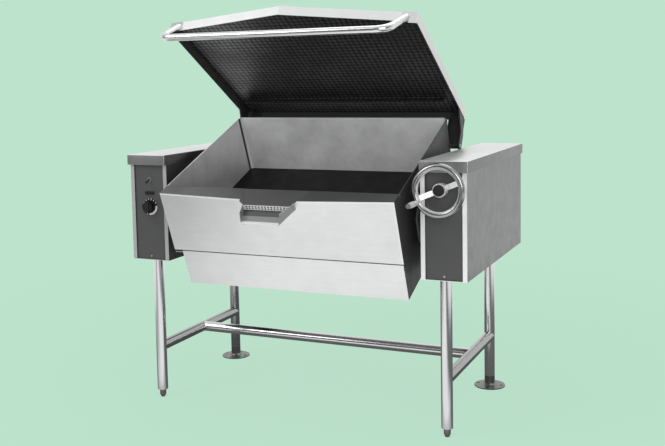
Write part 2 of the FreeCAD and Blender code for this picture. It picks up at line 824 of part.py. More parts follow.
def worm_wheel():
    """Bronze worm wheel: slanted teeth joined across its face, a hub and a keyway."""
    module = g.gear_module.value
    count = int(round(g.wheel_teeth.value))
    pitch = wheel_radius.value
    face = g.wheel_face.value
    slant = math.atan(module / g.worm_pitch_round.value)
    twist = math.tan(slant) * face / pitch
    tip, root = pitch + module, pitch - 1.25 * module

    def ring(x, turn):
        points = []
        for k in range(count):
            middle = 2 * math.pi * k / count + turn
            for radius, shift, sign in ((root, -1.25 * module, -1), (tip, module, -1),
                                        (tip, module, 1), (root, -1.25 * module, 1)):
                angle = middle + sign * tooth_outline(shift) / pitch
                points.append(Vector(x, radius * math.sin(angle), radius * math.cos(angle)))
        return Part.makePolygon(points + [points[0]])

    x = drive_x.value
    teeth = Part.makeLoft([ring(x - face / 2, twist / 2), ring(x + face / 2, -twist / 2)], True, True)
    hub_long = g.wheel_hub_long.value
    hub = Part.makeCylinder(g.wheel_hub_round.value / 2, hub_long, Vector(x - hub_long / 2, 0, 0), X)
    solid = teeth.fuse(hub)
    bore_radius = g.trunnion_round.value / 2 + g.weld_gap.value
    solid = solid.cut(Part.makeCylinder(bore_radius, hub_long, Vector(x - hub_long / 2, 0, 0), X))
    wide, tall = g.key_wide.value, g.key_tall.value
    solid = solid.cut(Part.makeBox(hub_long, wide, bore_radius + tall / 2,
                                   Vector(x - hub_long / 2, -wide / 2, 0)))
    for k in range(LIGHTENING):
        turn = 2 * math.pi * (k + 0.5) / LIGHTENING
        ring_radius = (root + g.wheel_hub_round.value / 2) / 2
        hole = Part.makeCylinder(ring_radius / 5, face, Vector(x - face / 2, ring_radius * math.sin(turn),
                                                              ring_radius * math.cos(turn)), X)
        solid = solid.cut(hole)
    plain_solids("worm_wheel", solid, pan_frame)


def worm_shaft():
    """The worm cut on its shaft, which runs forward to the handwheel. Its axis lies along Y."""
    module = g.gear_module.value
    lead = math.pi * module
    pitch = worm_radius.value
    tip, root = pitch + module, pitch - 1.25 * module
    length = g.worm_long.value
    quarter = lead / 4 - g.tooth_gap.value / 2
    slope = math.tan(math.radians(g.tooth_angle.value))
    inner, outer = quarter + 1.25 * module * slope, quarter - module * slope
    sink = module / 4
    helix = Part.makeHelix(lead, length + 2 * lead, root)
    profile = Part.makePolygon([Vector(root - sink, 0, -inner), Vector(tip, 0, -outer), Vector(tip, 0, outer),
                                Vector(root - sink, 0, inner), Vector(root - sink, 0, -inner)])
    thread = Part.Wire(helix.Edges).makePipeShell([profile], True, True)
    core = Part.makeCylinder(root, length, Vector(0, 0, 0), Z)
    slab = Part.makeCylinder(2 * tip, length, Vector(0, 0, 0), Z)
    thread.translate(Vector(0, 0, -lead))
    worm = core.fuse(thread.common(slab))
    worm.translate(Vector(0, 0, -length / 2))
    worm.rotate(Vector(0, 0, 0), Z, worm_phase())
    worm.rotate(Vector(0, 0, 0), X, -90.0)
    worm.translate(Vector(drive_x.value, trunnion_y.value, handwheel_z.value))
    shaft_radius = g.worm_shaft_round.value / 2
    back = trunnion_y.value + g.bracket_half.value + 2 * g.bracket_arm.value
    ahead = (console_front - g.wheel_ahead + g.wheel_dish - g.hub_long / 2 + g.shaft_inset).value
    shaft = Part.makeCylinder(shaft_radius, back - ahead, Vector(drive_x.value, ahead, handwheel_z.value), Y)
    shoulder_half = g.bracket_half.value - g.fit_gap.value / 2
    shoulder_at = Vector(drive_x.value, trunnion_y.value - shoulder_half, handwheel_z.value)
    shoulders = Part.makeCylinder(root, 2 * shoulder_half, shoulder_at, Y)
    plain_solids("worm_shaft", worm.fuse(shoulders).fuse(shaft).removeSplitter())


def worm_phase():
    """Turn of the worm about its own axis that meshes it with the wheel at rest."""
    lead = math.pi * g.gear_module.value
    tooth_turn = -g.pan_tilt_rest.value % (360.0 / g.wheel_teeth.value)
    tooth_at = wheel_radius.value * math.radians(tooth_turn)
    space_at = tooth_at + lead / 2 + g.worm_long.value / 2
    return 90.0 - 360.0 * space_at / lead


def worm_bracket():
    """Bracket on the carrier plate: a base and two arms that hold the worm shaft's bushes."""
    made = new_body("worm_bracket")
    x0 = inner_face + g.sheet + g.carrier_thick
    x1 = drive_x + g.worm_pitch_round / 2 + g.bracket_arm / 2
    half_tall = g.bracket_tall / 2
    half_long = g.bracket_half + g.bracket_arm
    block(made, (x0, trunnion_y - half_long, handwheel_z - half_tall),
          (x0 + g.bracket_base, trunnion_y + half_long, handwheel_z + half_tall))
    for side in (-1, 1):
        y0 = trunnion_y + side * g.bracket_half
        block(made, (x0, y0, handwheel_z - half_tall), (x1, y0 + side * g.bracket_arm, handwheel_z + half_tall))
    bush = g.worm_shaft_round + 2 * g.shaft_bush_wall
    bore(made, "XZ_Plane", -trunnion_y, drive_x, handwheel_z, bush, 4 * half_long, both=True)


def bush_ring(at, direction, hole, wall, length):
    """A plain bush: its bore clears the shaft by the running gap and its outside is a light fit."""
    outside = Part.makeCylinder((hole / 2 + wall - g.weld_gap).value, length.value, at, direction)
    return outside.cut(Part.makeCylinder((hole / 2 + g.running_gap).value, length.value, at, direction))


def bronze_bushes():
    """Bushes of both trunnions, of the worm bracket's arms, and of the front panel, which has a collar."""
    bushes = []
    for side in (-1, 1):
        seat = side * (inner_face + g.sheet + g.carrier_thick).value
        at = Vector(seat, trunnion_y.value, trunnion_z.value)
        bushes.append(bush_ring(at, X * side, g.trunnion_round, g.bush_wall, g.bearing_long))
        arm = trunnion_y.value + side * g.bracket_half.value
        at = Vector(drive_x.value, arm, handwheel_z.value)
        bushes.append(bush_ring(at, Y * side, g.worm_shaft_round, g.shaft_bush_wall, g.bracket_arm))
    panel = Vector(drive_x.value, console_front.value + g.panel_recess.value, handwheel_z.value)
    ring = bush_ring(panel, Y, g.worm_shaft_round, g.shaft_bush_wall, 6 * g.sheet)
    collar_at = panel - Y * g.bush_collar.value
    collar = bush_ring(collar_at, Y, g.worm_shaft_round, 2 * g.shaft_bush_wall, g.bush_collar)
    bushes.append(ring.fuse(collar).removeSplitter())
    plain_solids("bronze_bushes", Part.makeCompound(bushes))


# Handwheel and crank

def wheel_frame():
    """The middle of the rim, turned so that X runs along the spokes."""
    middle = Vector(drive_x.value, (console_front - g.wheel_ahead).value, handwheel_z.value)
    return Placement(middle, Rotation(Y, -g.spoke_slope.value))


def handwheel():
    """Cast wheel: a round rim, two flat spokes that slope back from it, and a hub bored for the shaft."""
    made = new_body("handwheel", wheel_frame())
    reach = (g.wheel_over - g.rim_round) / 2
    near, thick, dish = g.hub_round * 0.4, g.spoke_thick / 2, g.wheel_dish
    sketch = new_sketch(made, "XY_Plane")
    outline(sketch, [
        (-reach, -thick), (-near, dish - thick), (near, dish - thick), (reach, -thick),
        (reach, thick), (near, dish + thick), (-near, dish + thick), (-reach, thick),
    ])
    pad(made, sketch, g.spoke_wide, both=True)
    sketch = new_sketch(made, "XY_Plane")
    circle(sketch, reach, 0, g.rim_round)
    revolve(made, sketch)
    rod(made, "XZ_Plane", -dish - g.hub_long / 2, 0, 0, g.hub_round, g.hub_long)
    press = 2 * g.press_gap
    bore(made, "XZ_Plane", -dish, 0, 0, g.worm_shaft_round + press, 2 * g.hub_long, both=True)
    grip_u, grip_v = grip_place()
    bore(made, "XZ_Plane", 0, grip_u, grip_v, g.spindle_round + press, 2 * g.rim_round, both=True)


def grip_place():
    """Where the crank stands on the rim, in the wheel's frame."""
    reach = (g.wheel_over - g.rim_round) / 2
    turn = math.radians(g.grip_turn.value)
    return -(reach * math.cos(turn)), -(reach * math.sin(turn))


def hub_cap():
    """Black cap pressed over the front of the hub, round the end of the shaft."""
    made = new_body("handwheel_cap", wheel_frame())
    rod(made, "XZ_Plane", g.hub_long / 2 - g.wheel_dish, 0, 0, g.hub_cap_round, g.hub_cap_thick)


def crank_parts():
    """Crank handle: a headed spindle fixed in the rim and a grip that turns on it."""
    grip_u, grip_v = grip_place()
    spindle = new_body("crank_spindle", wheel_frame())
    start = -g.rim_round / 2
    total = g.rim_round + g.grip_standoff - g.rim_round / 2 + g.grip_long
    rod(spindle, "XZ_Plane", start, grip_u, grip_v, g.spindle_round, total)
    rod(spindle, "XZ_Plane", start + total, grip_u, grip_v, g.spindle_head, g.spindle_head_thick)
    collar_at = g.rim_round / 2 + g.fit_gap / 2
    rod(spindle, "XZ_Plane", collar_at, grip_u, grip_v, g.spindle_head, g.grip_standoff - collar_at - g.fit_gap)
    local = Placement(Vector(grip_u.value, 0, grip_v.value), Rotation())
    grip = new_body("crank_grip", wheel_frame().multiply(local))
    sketch = new_sketch(grip, "XY_Plane")
    near = -g.grip_standoff
    far = -(g.grip_standoff + g.grip_long - g.fit_gap)
    bore_half = g.spindle_round / 2 + g.running_gap
    full = g.grip_round / 2
    outline(sketch, [
        (bore_half, near),
        (full * 0.72, near),
        (full * 0.86, near - g.grip_long * 0.18),
        (full, near - g.grip_long * 0.55),
        (full, near - g.grip_long * 0.80),
        (full * 0.74, far),
        (bore_half, far),
    ])
    revolve(grip, sketch)


# Controls of the left console

def on_panel(name, z):
    """A body whose frame lies on the face of the left front panel."""
    face_y = console_front + g.panel_recess
    return new_body(name, Placement(Vector(-panel_x.value, face_y.value, z.value), Rotation()))


def controls():
    """Thermostat knob over its dial plate, the lever switch and the pilot lamp."""
    knob = on_panel("thermostat_knob", knob_z)
    start = g.dial_thick + g.fit_gap
    skirt = g.knob_deep / 3
    sketch = new_sketch(knob, "XZ_Plane", start)
    circle(sketch, 0, 0, g.knob_round)
    pad(knob, sketch, skirt)
    sketch = new_sketch(knob, "XZ_Plane", start + skirt)
    circle(sketch, 0, 0, g.knob_round * 0.84)
    pad(knob, sketch, g.knob_deep / 2)
    sketch = new_sketch(knob, "XZ_Plane", start + skirt)
    bar = g.knob_round * 0.16
    rectangle(sketch, -bar, -g.knob_round * 0.44, bar, g.knob_round * 0.44)
    pad(knob, sketch, g.knob_deep - skirt)
    rod(knob, "XZ_Plane", start, 0, 0, g.knob_stem, g.knob_stem_long, reverse=True)

    dial = on_panel("dial_plate", knob_z)
    sketch = new_sketch(dial, "XZ_Plane")
    circle(sketch, 0, 0, g.dial_round)
    circle(sketch, 0, 0, g.dial_hole)
    pad(dial, sketch, g.dial_thick)

    switch = on_panel("switch_body", switch_z)
    sketch = new_sketch(switch, "XZ_Plane", -g.sheet)
    rectangle(sketch, -g.switch_wide / 2, -g.switch_tall / 2, g.switch_wide / 2, g.switch_tall / 2)
    pad(switch, sketch, g.switch_deep, reverse=True)
    rod(switch, "XZ_Plane", -g.sheet, 0, 0, g.switch_neck, g.sheet + g.switch_proud)
    rod(switch, "XZ_Plane", 0, 0, 0, g.switch_neck * 1.4, g.switch_proud / 2)
    throat = g.switch_neck * 0.8
    bore(switch, "XZ_Plane", g.switch_proud, 0, 0, throat, g.switch_deep / 2)

    lean = Rotation(X, g.lever_lean.value)
    face_y = console_front + g.panel_recess
    pivot = Vector(-panel_x.value, (face_y - g.dial_thick / 2).value, switch_z.value)
    lever = new_body("switch_lever", Placement(pivot, lean))
    sketch = new_sketch(lever, "YZ_Plane")
    ball, root = g.lever_ball / 2, g.lever_root / 2
    outline(sketch, [
        (ball, 0), (ball, ball), (-2 * g.lever_ball, root),
        (-g.lever_long, g.lever_round / 2), (-g.lever_long, 0),
    ])
    revolve(lever, sketch, "H_Axis")
    rod(lever, "YZ_Plane", -g.lever_pin_long / 2, 0, 0, g.lever_pin, g.lever_pin_long)

    lamp = on_panel("pilot_lamp", lamp_z)
    sketch = new_sketch(lamp, "XZ_Plane")
    rectangle(sketch, -g.lamp_wide / 2, -g.lamp_tall / 2, g.lamp_wide / 2, g.lamp_tall / 2)
    pad(lamp, sketch, g.lamp_proud)
    rod(lamp, "XZ_Plane", 0, 0, 0, g.lamp_neck, 2 * g.lamp_tall, reverse=True)


def box_at(low, size):
    """A plain box from its low corner, with sizes taken from the sheet."""
    low = [as_size(part).value for part in low]
    return Part.makeBox(*(as_size(part).value for part in size), Vector(*low))


def electrics():
    """Thermostat behind its dial, and the contactor and terminal block on the console's outer wall."""
    face_y = console_front + g.panel_recess + g.sheet
    stat = box_at((-panel_x - g.stat_wide / 2, face_y, knob_z - g.stat_tall / 2),
                  (g.stat_wide, g.stat_deep, g.stat_tall))
    stem = Part.makeCylinder(g.dial_hole.value / 2, g.knob_stem_long.value,
                             Vector(-panel_x.value, face_y.value, knob_z.value), Y)
    stat = stat.cut(stem)
    wall = -(outer_face - g.sheet)
    y_mid, foot = g.stand_mid + g.stat_deep, g.gland_up + g.contactor_over
    step = g.contactor_step
    contactor = box_at((wall, y_mid - g.contactor_wide, foot),
                       (g.contactor_deep - step, g.contactor_wide, g.contactor_tall))
    coil = box_at((wall, y_mid - g.contactor_wide + step, foot + step),
                  (g.contactor_deep, g.contactor_wide - 2 * step, g.contactor_tall - 2 * step))
    contactor = contactor.fuse(coil).removeSplitter()
    thin = g.terminal_wall
    terminals = box_at((wall, y_mid + thin, g.gland_up), (g.terminal_deep, g.terminal_wide, g.terminal_tall))
    pitch = (g.terminal_wide - thin) / TERMINALS
    shelf = g.gland_up + g.terminal_tall / 2
    for k in range(TERMINALS):
        slot = box_at((wall + g.terminal_deep / 3, y_mid + 2 * thin + k * pitch, shelf),
                      (g.terminal_deep, pitch - thin, g.terminal_tall))
        terminals = terminals.cut(slot)
    plain_solids("console_electrics", Part.makeCompound([stat, contactor, terminals]))


def supply_gland():
    """Cable gland through the back of the left console: a flange, a gland nut and a threaded neck."""
    place = Placement(Vector(-panel_x.value, console_back.value, g.gland_up.value), Rotation())
    gland = new_body("supply_gland", place)
    rod(gland, "XZ_Plane", 0, 0, 0, g.gland_round, g.gland_round / 6, reverse=True)
    rod(gland, "XZ_Plane", 0, 0, 0, g.gland_round * 0.82, g.gland_round / 2, reverse=True)
    rod(gland, "XZ_Plane", 0, 0, 0, g.gland_bore + 2 * g.bush_wall, g.gland_round / 3)
    bore(gland, "XZ_Plane", 0, 0, 0, g.gland_bore, 4 * g.gland_round, both=True)


def panel_screws():
    """Round-headed screws low in the middle of the two front panels."""
    screws = []
    head = g.screw_head.value
    for side in (-1, 1):
        at = Vector(side * panel_x.value, (console_front + g.panel_recess).value, screw_z.value)
        ball = Part.makeSphere(head / 2, at)
        keep = Part.makeCylinder(head, g.screw_round.value / 2, at, -Y)
        shank = Part.makeCylinder(g.screw_round.value / 2, 3 * g.screw_round.value, at, Y)
        screws.append(ball.common(keep).fuse(shank).removeSplitter())
    plain_solids("panel_screws", Part.makeCompound(screws))


# Pan

def trough_sections():
    """The trough's back and front ends: place, half width at the rim, half width and level of the floor."""
    back = (ledge_back, g.funnel_back_half, g.funnel_back_half - g.funnel_edge, g.rim_up - g.funnel_edge)
    ahead = (strainer_y, g.funnel_front_half, g.funnel_floor_half, g.rim_up - g.funnel_drop)
    return [back, ahead]


def cut_trough(body):
    """Cuts the slanting trough through the front ledge, with room for its own sheet."""
    drop = g.pan_sheet + g.weld_gap
    sections = []
    for at, top_half, low_half, low_z in trough_sections():
        sketch = new_sketch(body, "XZ_Plane", -at)
        high, low = g.rim_up + g.pan_sheet, low_z - drop
        top, foot = top_half + drop, low_half + drop
        outline(sketch, [
            (-top, high), (-top, g.rim_up), (-foot, low), (foot, low), (top, g.rim_up), (top, high),
        ])
        sections.append(sketch)
    made = body.newObject("PartDesign::SubtractiveLoft", body.Label + "_trough")
    made.Profile = sections[0]
    made.Sections = [sections[1]]
    made.Ruled = True


def pan_inside(inset):
    """Plan of the pan's inside, or of what fits into it, drawn in by an inset from the outer walls."""
    wide, back, radius = half - inset, rear - inset, g.pan_corner - inset
    ahead = ledge_back - g.pan_sheet + inset
    return [(-wide, ahead), (wide, ahead), (wide, back, radius), (-wide, back, radius)]


def rim_hem(made):
    """Pads the hem that is folded down outside the side and rear rims."""
    sketch = new_sketch(made, "XY_Plane", g.rim_up - g.rim_hem)
    wide, back, radius = half + g.hem_thick, rear + g.hem_thick, g.pan_corner + g.hem_thick
    outline(sketch, [
        (-half, ledge_back), (-half, rear, g.pan_corner), (half, rear, g.pan_corner), (half, ledge_back),
        (wide, ledge_back), (wide, back, radius), (-wide, back, radius), (-wide, ledge_back),
    ])
    pad(made, sketch, g.rim_hem)


def pan_shell():
    """Walls of the pan with round rear corners and a hem, and the flat pouring ledge at the front."""
    made = new_body("pan_shell", pan_frame)
    skin_end = front + g.skin_return
    sketch = new_sketch(made, "XY_Plane", plate_under)
    outline(sketch, [
        (-half, skin_end), (half, skin_end), (half, rear, g.pan_corner), (-half, rear, g.pan_corner),
    ])
    pad(made, sketch, g.rim_up - plate_under)
    sketch = new_sketch(made, "XY_Plane", g.rim_up)
    outline(sketch, pan_inside(g.pan_sheet))
    pocket(made, sketch, g.rim_up - plate_under)
    cut_block(made, (-inner_half, skin_end, plate_under),
              (inner_half, ledge_back - g.pan_sheet, g.rim_up - g.pan_sheet))
    sketch = new_sketch(made, "XY_Plane", g.rim_up - g.pan_sheet)
    outline(sketch, [
        (-half, ledge_back), (-half, front), (0, front - g.rim_point), (half, front), (half, ledge_back),
    ])
    pad(made, sketch, g.pan_sheet)
    rim_hem(made)
    block(made, (-half, front + g.pan_sheet + g.weld_gap, plate_under),
          (half, ledge_back - g.pan_sheet / 2, plate_under + g.pan_sheet))
    cut_trough(made)
    sketch = new_sketch(made, "XZ_Plane", -(ledge_back - g.pan_sheet / 2))
    wide = g.spout_back_half - g.pan_sheet
    rectangle(sketch, -wide, g.rim_up - g.spout_back_down, wide, g.rim_up - g.spout_top_down)
    pocket(made, sketch, 2 * g.pan_sheet, both=True)


def cooking_plate():
    made = new_body("cooking_plate", pan_frame)
    sketch = new_sketch(made, "XY_Plane", plate_under)
    outline(sketch, pan_inside(g.pan_sheet + g.weld_gap))
    pad(made, sketch, g.plate_thick)


def front_skin():
    """Outer front: two facets that meet in the middle at the rim and run flat at the seam."""
    made = new_body("front_skin", pan_frame)
    thick = g.pan_sheet
    sections = []
    for z, point in ((g.rim_up - g.pan_sheet, g.rim_point), (seam_z, g.hem_thick / 4)):
        sketch = new_sketch(made, "XY_Plane", z)
        outline(sketch, [
            (-half, front), (0, front - point), (half, front),
            (half, front + thick), (0, front + thick - point), (-half, front + thick),
        ])
        sections.append(sketch)
    loft = made.newObject("PartDesign::AdditiveLoft", "front_skin_loft")
    loft.Profile = sections[0]
    loft.Sections = [sections[1]]
    loft.Ruled = True
    for side in (-1, 1):
        block(made, (side * half, front, seam_z),
              (side * inner_half, front + g.skin_return, g.rim_up - g.pan_sheet))
    cut_trough(made)
    sketch = new_sketch(made, "XZ_Plane", -(front - g.rim_point / 2))
    wide = g.spout_back_half + g.weld_gap
    rectangle(sketch, -wide, g.rim_up - g.spout_mid_down - g.pan_sheet - g.fit_gap, wide, g.rim_up)
    pocket(made, sketch, 3 * g.rim_point, both=True)


def chute_face_y():
    """Where the chute's sides come out through the front skin."""
    return front - g.rim_point * (1 - g.spout_back_half / half)


def chute_half(y):
    """Half the outer width of the chute at a place in front of the skin."""
    share = (chute_face_y() - y) / (chute_face_y() - front + g.spout_tip + g.spout_lip)
    return g.spout_back_half - (g.spout_back_half - g.spout_tip_half) * share


def chute_rows():
    """Places along the chute's floor, from the back to the lip: half width, y and z."""
    rim = g.rim_up.value
    back_y, back_z = (ledge_back - g.pan_sheet - g.weld_gap).value, rim - g.spout_back_down.value
    mid_y, mid_z = strainer_y.value, rim - g.spout_mid_down.value
    face_y = chute_face_y().value
    face_z = mid_z + (face_y - mid_y) / (back_y - mid_y) * (back_z - mid_z)
    lip_y = (front - g.spout_tip - g.spout_lip).value
    back_half = g.spout_back_half.value
    return [(back_half, back_y, back_z), (back_half, face_y, face_z), (chute_half(mid_y).value, mid_y, mid_z),
            (g.spout_tip_half.value, lip_y, rim - g.spout_tip_down.value)]


def spout():
    """Pouring spout: trough sheet in the ledge, and a tapering chute with tall sides and a lip."""
    sheet = g.pan_sheet.value
    top = (g.rim_up - g.spout_top_down).value
    trough = trough_solid(sheet).cut(trough_solid(0.0, 1.0))
    rows = chute_rows()
    pieces = []
    for (half0, y0, z0), (half1, y1, z1) in zip(rows, rows[1:]):
        floor = [Vector(-half0, y0, z0), Vector(half0, y0, z0), Vector(half1, y1, z1), Vector(-half1, y1, z1)]
        pieces.append(solid_between(floor, [p - Z * sheet for p in floor]))
        top_y = y1 + g.spout_lip.value if y1 == rows[-1][1] else y1
        top_half = half1 + (half0 - half1) * (top_y - y1) / (y0 - y1)
        for side in (-1, 1):
            outside = [Vector(side * half0, y0, z0 - sheet), Vector(side * half1, y1, z1 - sheet),
                       Vector(side * top_half, top_y, top), Vector(side * half0, y0, top)]
            pieces.append(solid_between(outside, [p - X * (side * sheet) for p in outside]))
    chute = pieces[0]
    for piece in pieces[1:]:
        chute = chute.fuse(piece)
    chute = chute.cut(trough_below())
    tip_half, lip_y, lip_z = rows[-1]
    inset = g.stud_round.value
    for side in (-1, 1):
        at = Vector(side * (tip_half - inset), lip_y + inset, lip_z)
        stud = Part.makeCylinder(inset / 2, g.stud_long.value + sheet, at, -Z)
        chute = chute.fuse(stud)
    plain_solids("pour_spout", Part.makeCompound([trough, chute.removeSplitter()]), pan_frame)


def trough_solid(drop, grow=0.0):
    """The trough's space through the ledge, let down by a drop and lengthened at both ends."""
    rows = []
    for shift, (at, top_half, low_half, low_z) in zip((grow, -grow), trough_sections()):
        y, high, low = at.value + shift, g.rim_up.value + grow, low_z.value - drop
        top, foot = top_half.value + drop, low_half.value + drop
        rows.append([Vector(-top, y, high), Vector(-foot, y, low), Vector(foot, y, low), Vector(top, y, high)])
    return solid_between(*rows)


def trough_below():
    """Everything above the underside of the trough, so that the chute's sides stop under it."""
    low_back = (g.rim_up - g.pan_sheet - g.funnel_edge).value
    low_front = low_back - g.funnel_drop.value
    back_y, front_y = (ledge_back + g.pan_sheet).value, strainer_y.value
    wide, high = 2 * g.funnel_back_half.value, low_back + g.ledge.value
    section = [Vector(-wide, back_y, low_back), Vector(-wide, front_y, low_front),
               Vector(-wide, front_y, high), Vector(-wide, back_y, high)]
    return Part.Face(Part.makePolygon(section + [section[0]])).extrude(X * (2 * wide))


def solid_between(first, second):
    """A solid between two four-cornered faces, with ruled sides."""
    wires = [Part.makePolygon(points + [points[0]]) for points in (first, second)]
    return Part.makeLoft(wires, True, True)


def strainer():
    """Lift-out strainer: a perforated plate across the spout with two rows of holes."""
    made = new_body("strainer", pan_frame)
    top = g.rim_up - g.funnel_drop - g.fit_gap
    y0 = strainer_y - g.fit_gap - g.strainer_thick
    wide = chute_half(y0) - g.pan_sheet - g.strainer_gap
    block(made, (-wide, y0, top - g.strainer_tall), (wide, y0 + g.strainer_thick, top))
    count = int((2 * wide.value - g.strainer_pitch.value) // g.strainer_pitch.value)
    places = []
    for share in (0.30, 0.70):
        for k in range(count):
            offset = (k - (count - 1) / 2) * g.strainer_pitch
            places.append((offset, top - g.strainer_tall * share))
    middle = y0 + g.strainer_thick / 2
    bores(made, "XZ_Plane", -middle, places, g.strainer_hole, 4 * g.strainer_thick, both=True)


def heater_casing():
    """Lower casing round the heaters, narrower than the pan on the left, and its bottom cover."""
    made = new_body("heater_casing", pan_frame)
    x0, x1 = -half + g.box_inset_left, half - g.box_inset_right
    low = bottom_z + g.sheet
    block(made, (x0, front, low), (x1, rear, plate_under))
    cut_block(made, (x0 + g.sheet, front + g.sheet, low), (x1 - g.sheet, rear - g.sheet, plate_under))
    block(made, (x0, front, plate_under), (x1, front + g.sheet, seam_z - g.fit_gap))
    sketch = new_sketch(made, "XY_Plane", low)
    seat = g.cap_seat
    rectangle(sketch, x0, front, x1, rear)
    rectangle(sketch, x0 + seat, front + seat, x1 - seat, rear - seat)
    pad(made, sketch, g.sheet)
    cover = new_body("bottom_cover", pan_frame)
    lip = g.sheet / 2
    block(cover, (x0 + lip, front + lip, bottom_z), (x1 - lip, rear - lip, bottom_z + g.sheet))
    return x0, x1


def heaters(x0, x1):
    """Hairpin heating elements clamped under the cooking plate, and the insulation below them."""
    middle = (x0.value + x1.value) / 2
    radius = g.element_round.value / 2
    z = plate_under.value - radius - g.element_gap.value
    bend = g.element_bend.value
    long = g.element_long.value
    y_mid = (ledge_back.value + rear.value) / 2
    elements = []
    for k in range(ELEMENTS):
        x = middle + (k - (ELEMENTS - 1) / 2) * g.element_pitch.value
        y0, y1 = y_mid - long / 2, y_mid + long / 2 - bend
        first = Part.LineSegment(Vector(x - bend, y0, z), Vector(x - bend, y1, z)).toShape()
        arc = Part.Arc(Vector(x - bend, y1, z), Vector(x, y1 + bend, z), Vector(x + bend, y1, z)).toShape()
        last = Part.LineSegment(Vector(x + bend, y1, z), Vector(x + bend, y0, z)).toShape()
        path = Part.Wire([first, arc, last])
        ring = Part.Wire([Part.makeCircle(radius, Vector(x - bend, y0, z), Y)])
        elements.append(path.makePipeShell([ring], True, True))
    plain_solids("heating_elements", Part.makeCompound(elements), pan_frame)

    clamps = []
    run = ELEMENTS * g.element_pitch.value
    for share in (-0.32, 0.18):
        y = y_mid + share * long
        low = z - radius - g.element_gap.value - g.clamp_thick.value
        bar = Part.makeBox(run, g.clamp_wide.value, g.clamp_thick.value,
                           Vector(middle - run / 2, y - g.clamp_wide.value / 2, low))
        for k in range(ELEMENTS + 1):
            edge = run / 2 - g.clamp_post.value
            x = middle + max(-edge, min(edge, (k - ELEMENTS / 2) * g.element_pitch.value))
            foot = low + g.clamp_thick.value
            post = Part.makeCylinder(g.clamp_post.value / 2, (plate_under - g.weld_gap).value - foot,
                                     Vector(x, y, foot), Z)
            bar = bar.fuse(post)
        clamps.append(bar.removeSplitter())
    plain_solids("element_clamps", Part.makeCompound(clamps), pan_frame)

    slab = new_body("insulation_slab", pan_frame)
    low = bottom_z + 2 * g.sheet
    edge = 2 * g.sheet
    block(slab, (x0 + edge, front + edge, low), (x1 - edge, rear - edge, low + g.insulation_thick))


def trunnions():
    """Doubler plates on the pan sides, and the flanged trunnion shafts that turn in the bearings."""
    long, low, high = g.doubler_long.value / 2, plate_under.value, g.doubler_up.value
    plates = []
    for side in (-1, 1):
        x = side * half.value
        places = ((-long, low), (long, low), (long, high / 2), (long / 2, high),
                  (-long / 2, high), (-long, high / 2))
        corners = [Vector(x, y, z) for y, z in places]
        face = Part.Face(Part.makePolygon(corners + [corners[0]]))
        plates.append(face.extrude(X * (side * g.doubler_thick.value)))
    plain_solids("trunnion_doublers", Part.makeCompound(plates), pan_frame)

    for side in (-1, 1):
        shaft = new_body(mirror_word(side) + "_trunnion", pan_frame)
        x0 = side * (half + g.doubler_thick)
        rod(shaft, "YZ_Plane", x0, 0, 0, g.trunnion_flange, g.trunnion_flange_thick, reverse=side < 0)
        if side > 0:
            end = drive_x + g.wheel_hub_long / 2 + g.key_tall
        else:
            end = inner_face + g.sheet + g.carrier_thick + g.bearing_long + g.trunnion_flange_thick
        rod(shaft, "YZ_Plane", x0, 0, 0, g.trunnion_round, end - half - g.doubler_thick, reverse=side < 0)
        if side < 0:
            bore(shaft, "YZ_Plane", x0, 0, 0, g.wiring_bore, 4 * (end - half), both=True)
        else:
            wide, tall = g.key_wide / 2, g.key_tall
            low = g.trunnion_round / 2 - tall / 2
            cut_block(shaft, (drive_x - g.key_long / 2, -wide, low),
                      (drive_x + g.key_long / 2, wide, low + 2 * tall))
    key = new_body("drive_key", pan_frame)
    gap = g.weld_gap
    wide, long = g.key_wide / 2 - gap, g.key_long / 2 - gap
    low = g.trunnion_round / 2 - g.key_tall / 2 + gap
    block(key, (drive_x - long, -wide, low), (drive_x + long, wide, low + g.key_tall - 2 * gap))


# Lid and its hinge

def lid_outline(inset, front_inset):
    """Plan of the lid: straight back and sides, and a front that comes to a point in the middle."""
    y_front = front - g.lid_ahead
    wide = g.lid_half - inset
    slope = g.lid_point / g.lid_half
    corner = y_front + front_inset - inset * slope
    back, radius = y_front + g.lid_side - inset, g.pan_corner - inset
    return [
        (-wide, back, radius), (-wide, corner), (0, y_front - g.lid_point + front_inset), (wide, corner),
        (wide, back, radius),
    ]


def lid_shell():
    """Shallow tray, open below, with a pointed front and round rear corners."""
    made = new_body("lid_shell", lid_frame)
    top = g.rim_up + g.lid_above
    sketch = new_sketch(made, "XY_Plane", top - g.lid_deep)
    outline(sketch, lid_outline(as_size(0), as_size(0)))
    pad(made, sketch, g.lid_deep)
    sketch = new_sketch(made, "XY_Plane", top - g.lid_sheet)
    outline(sketch, lid_outline(g.lid_sheet, g.lid_sheet))
    pocket(made, sketch, g.lid_deep - g.lid_sheet)


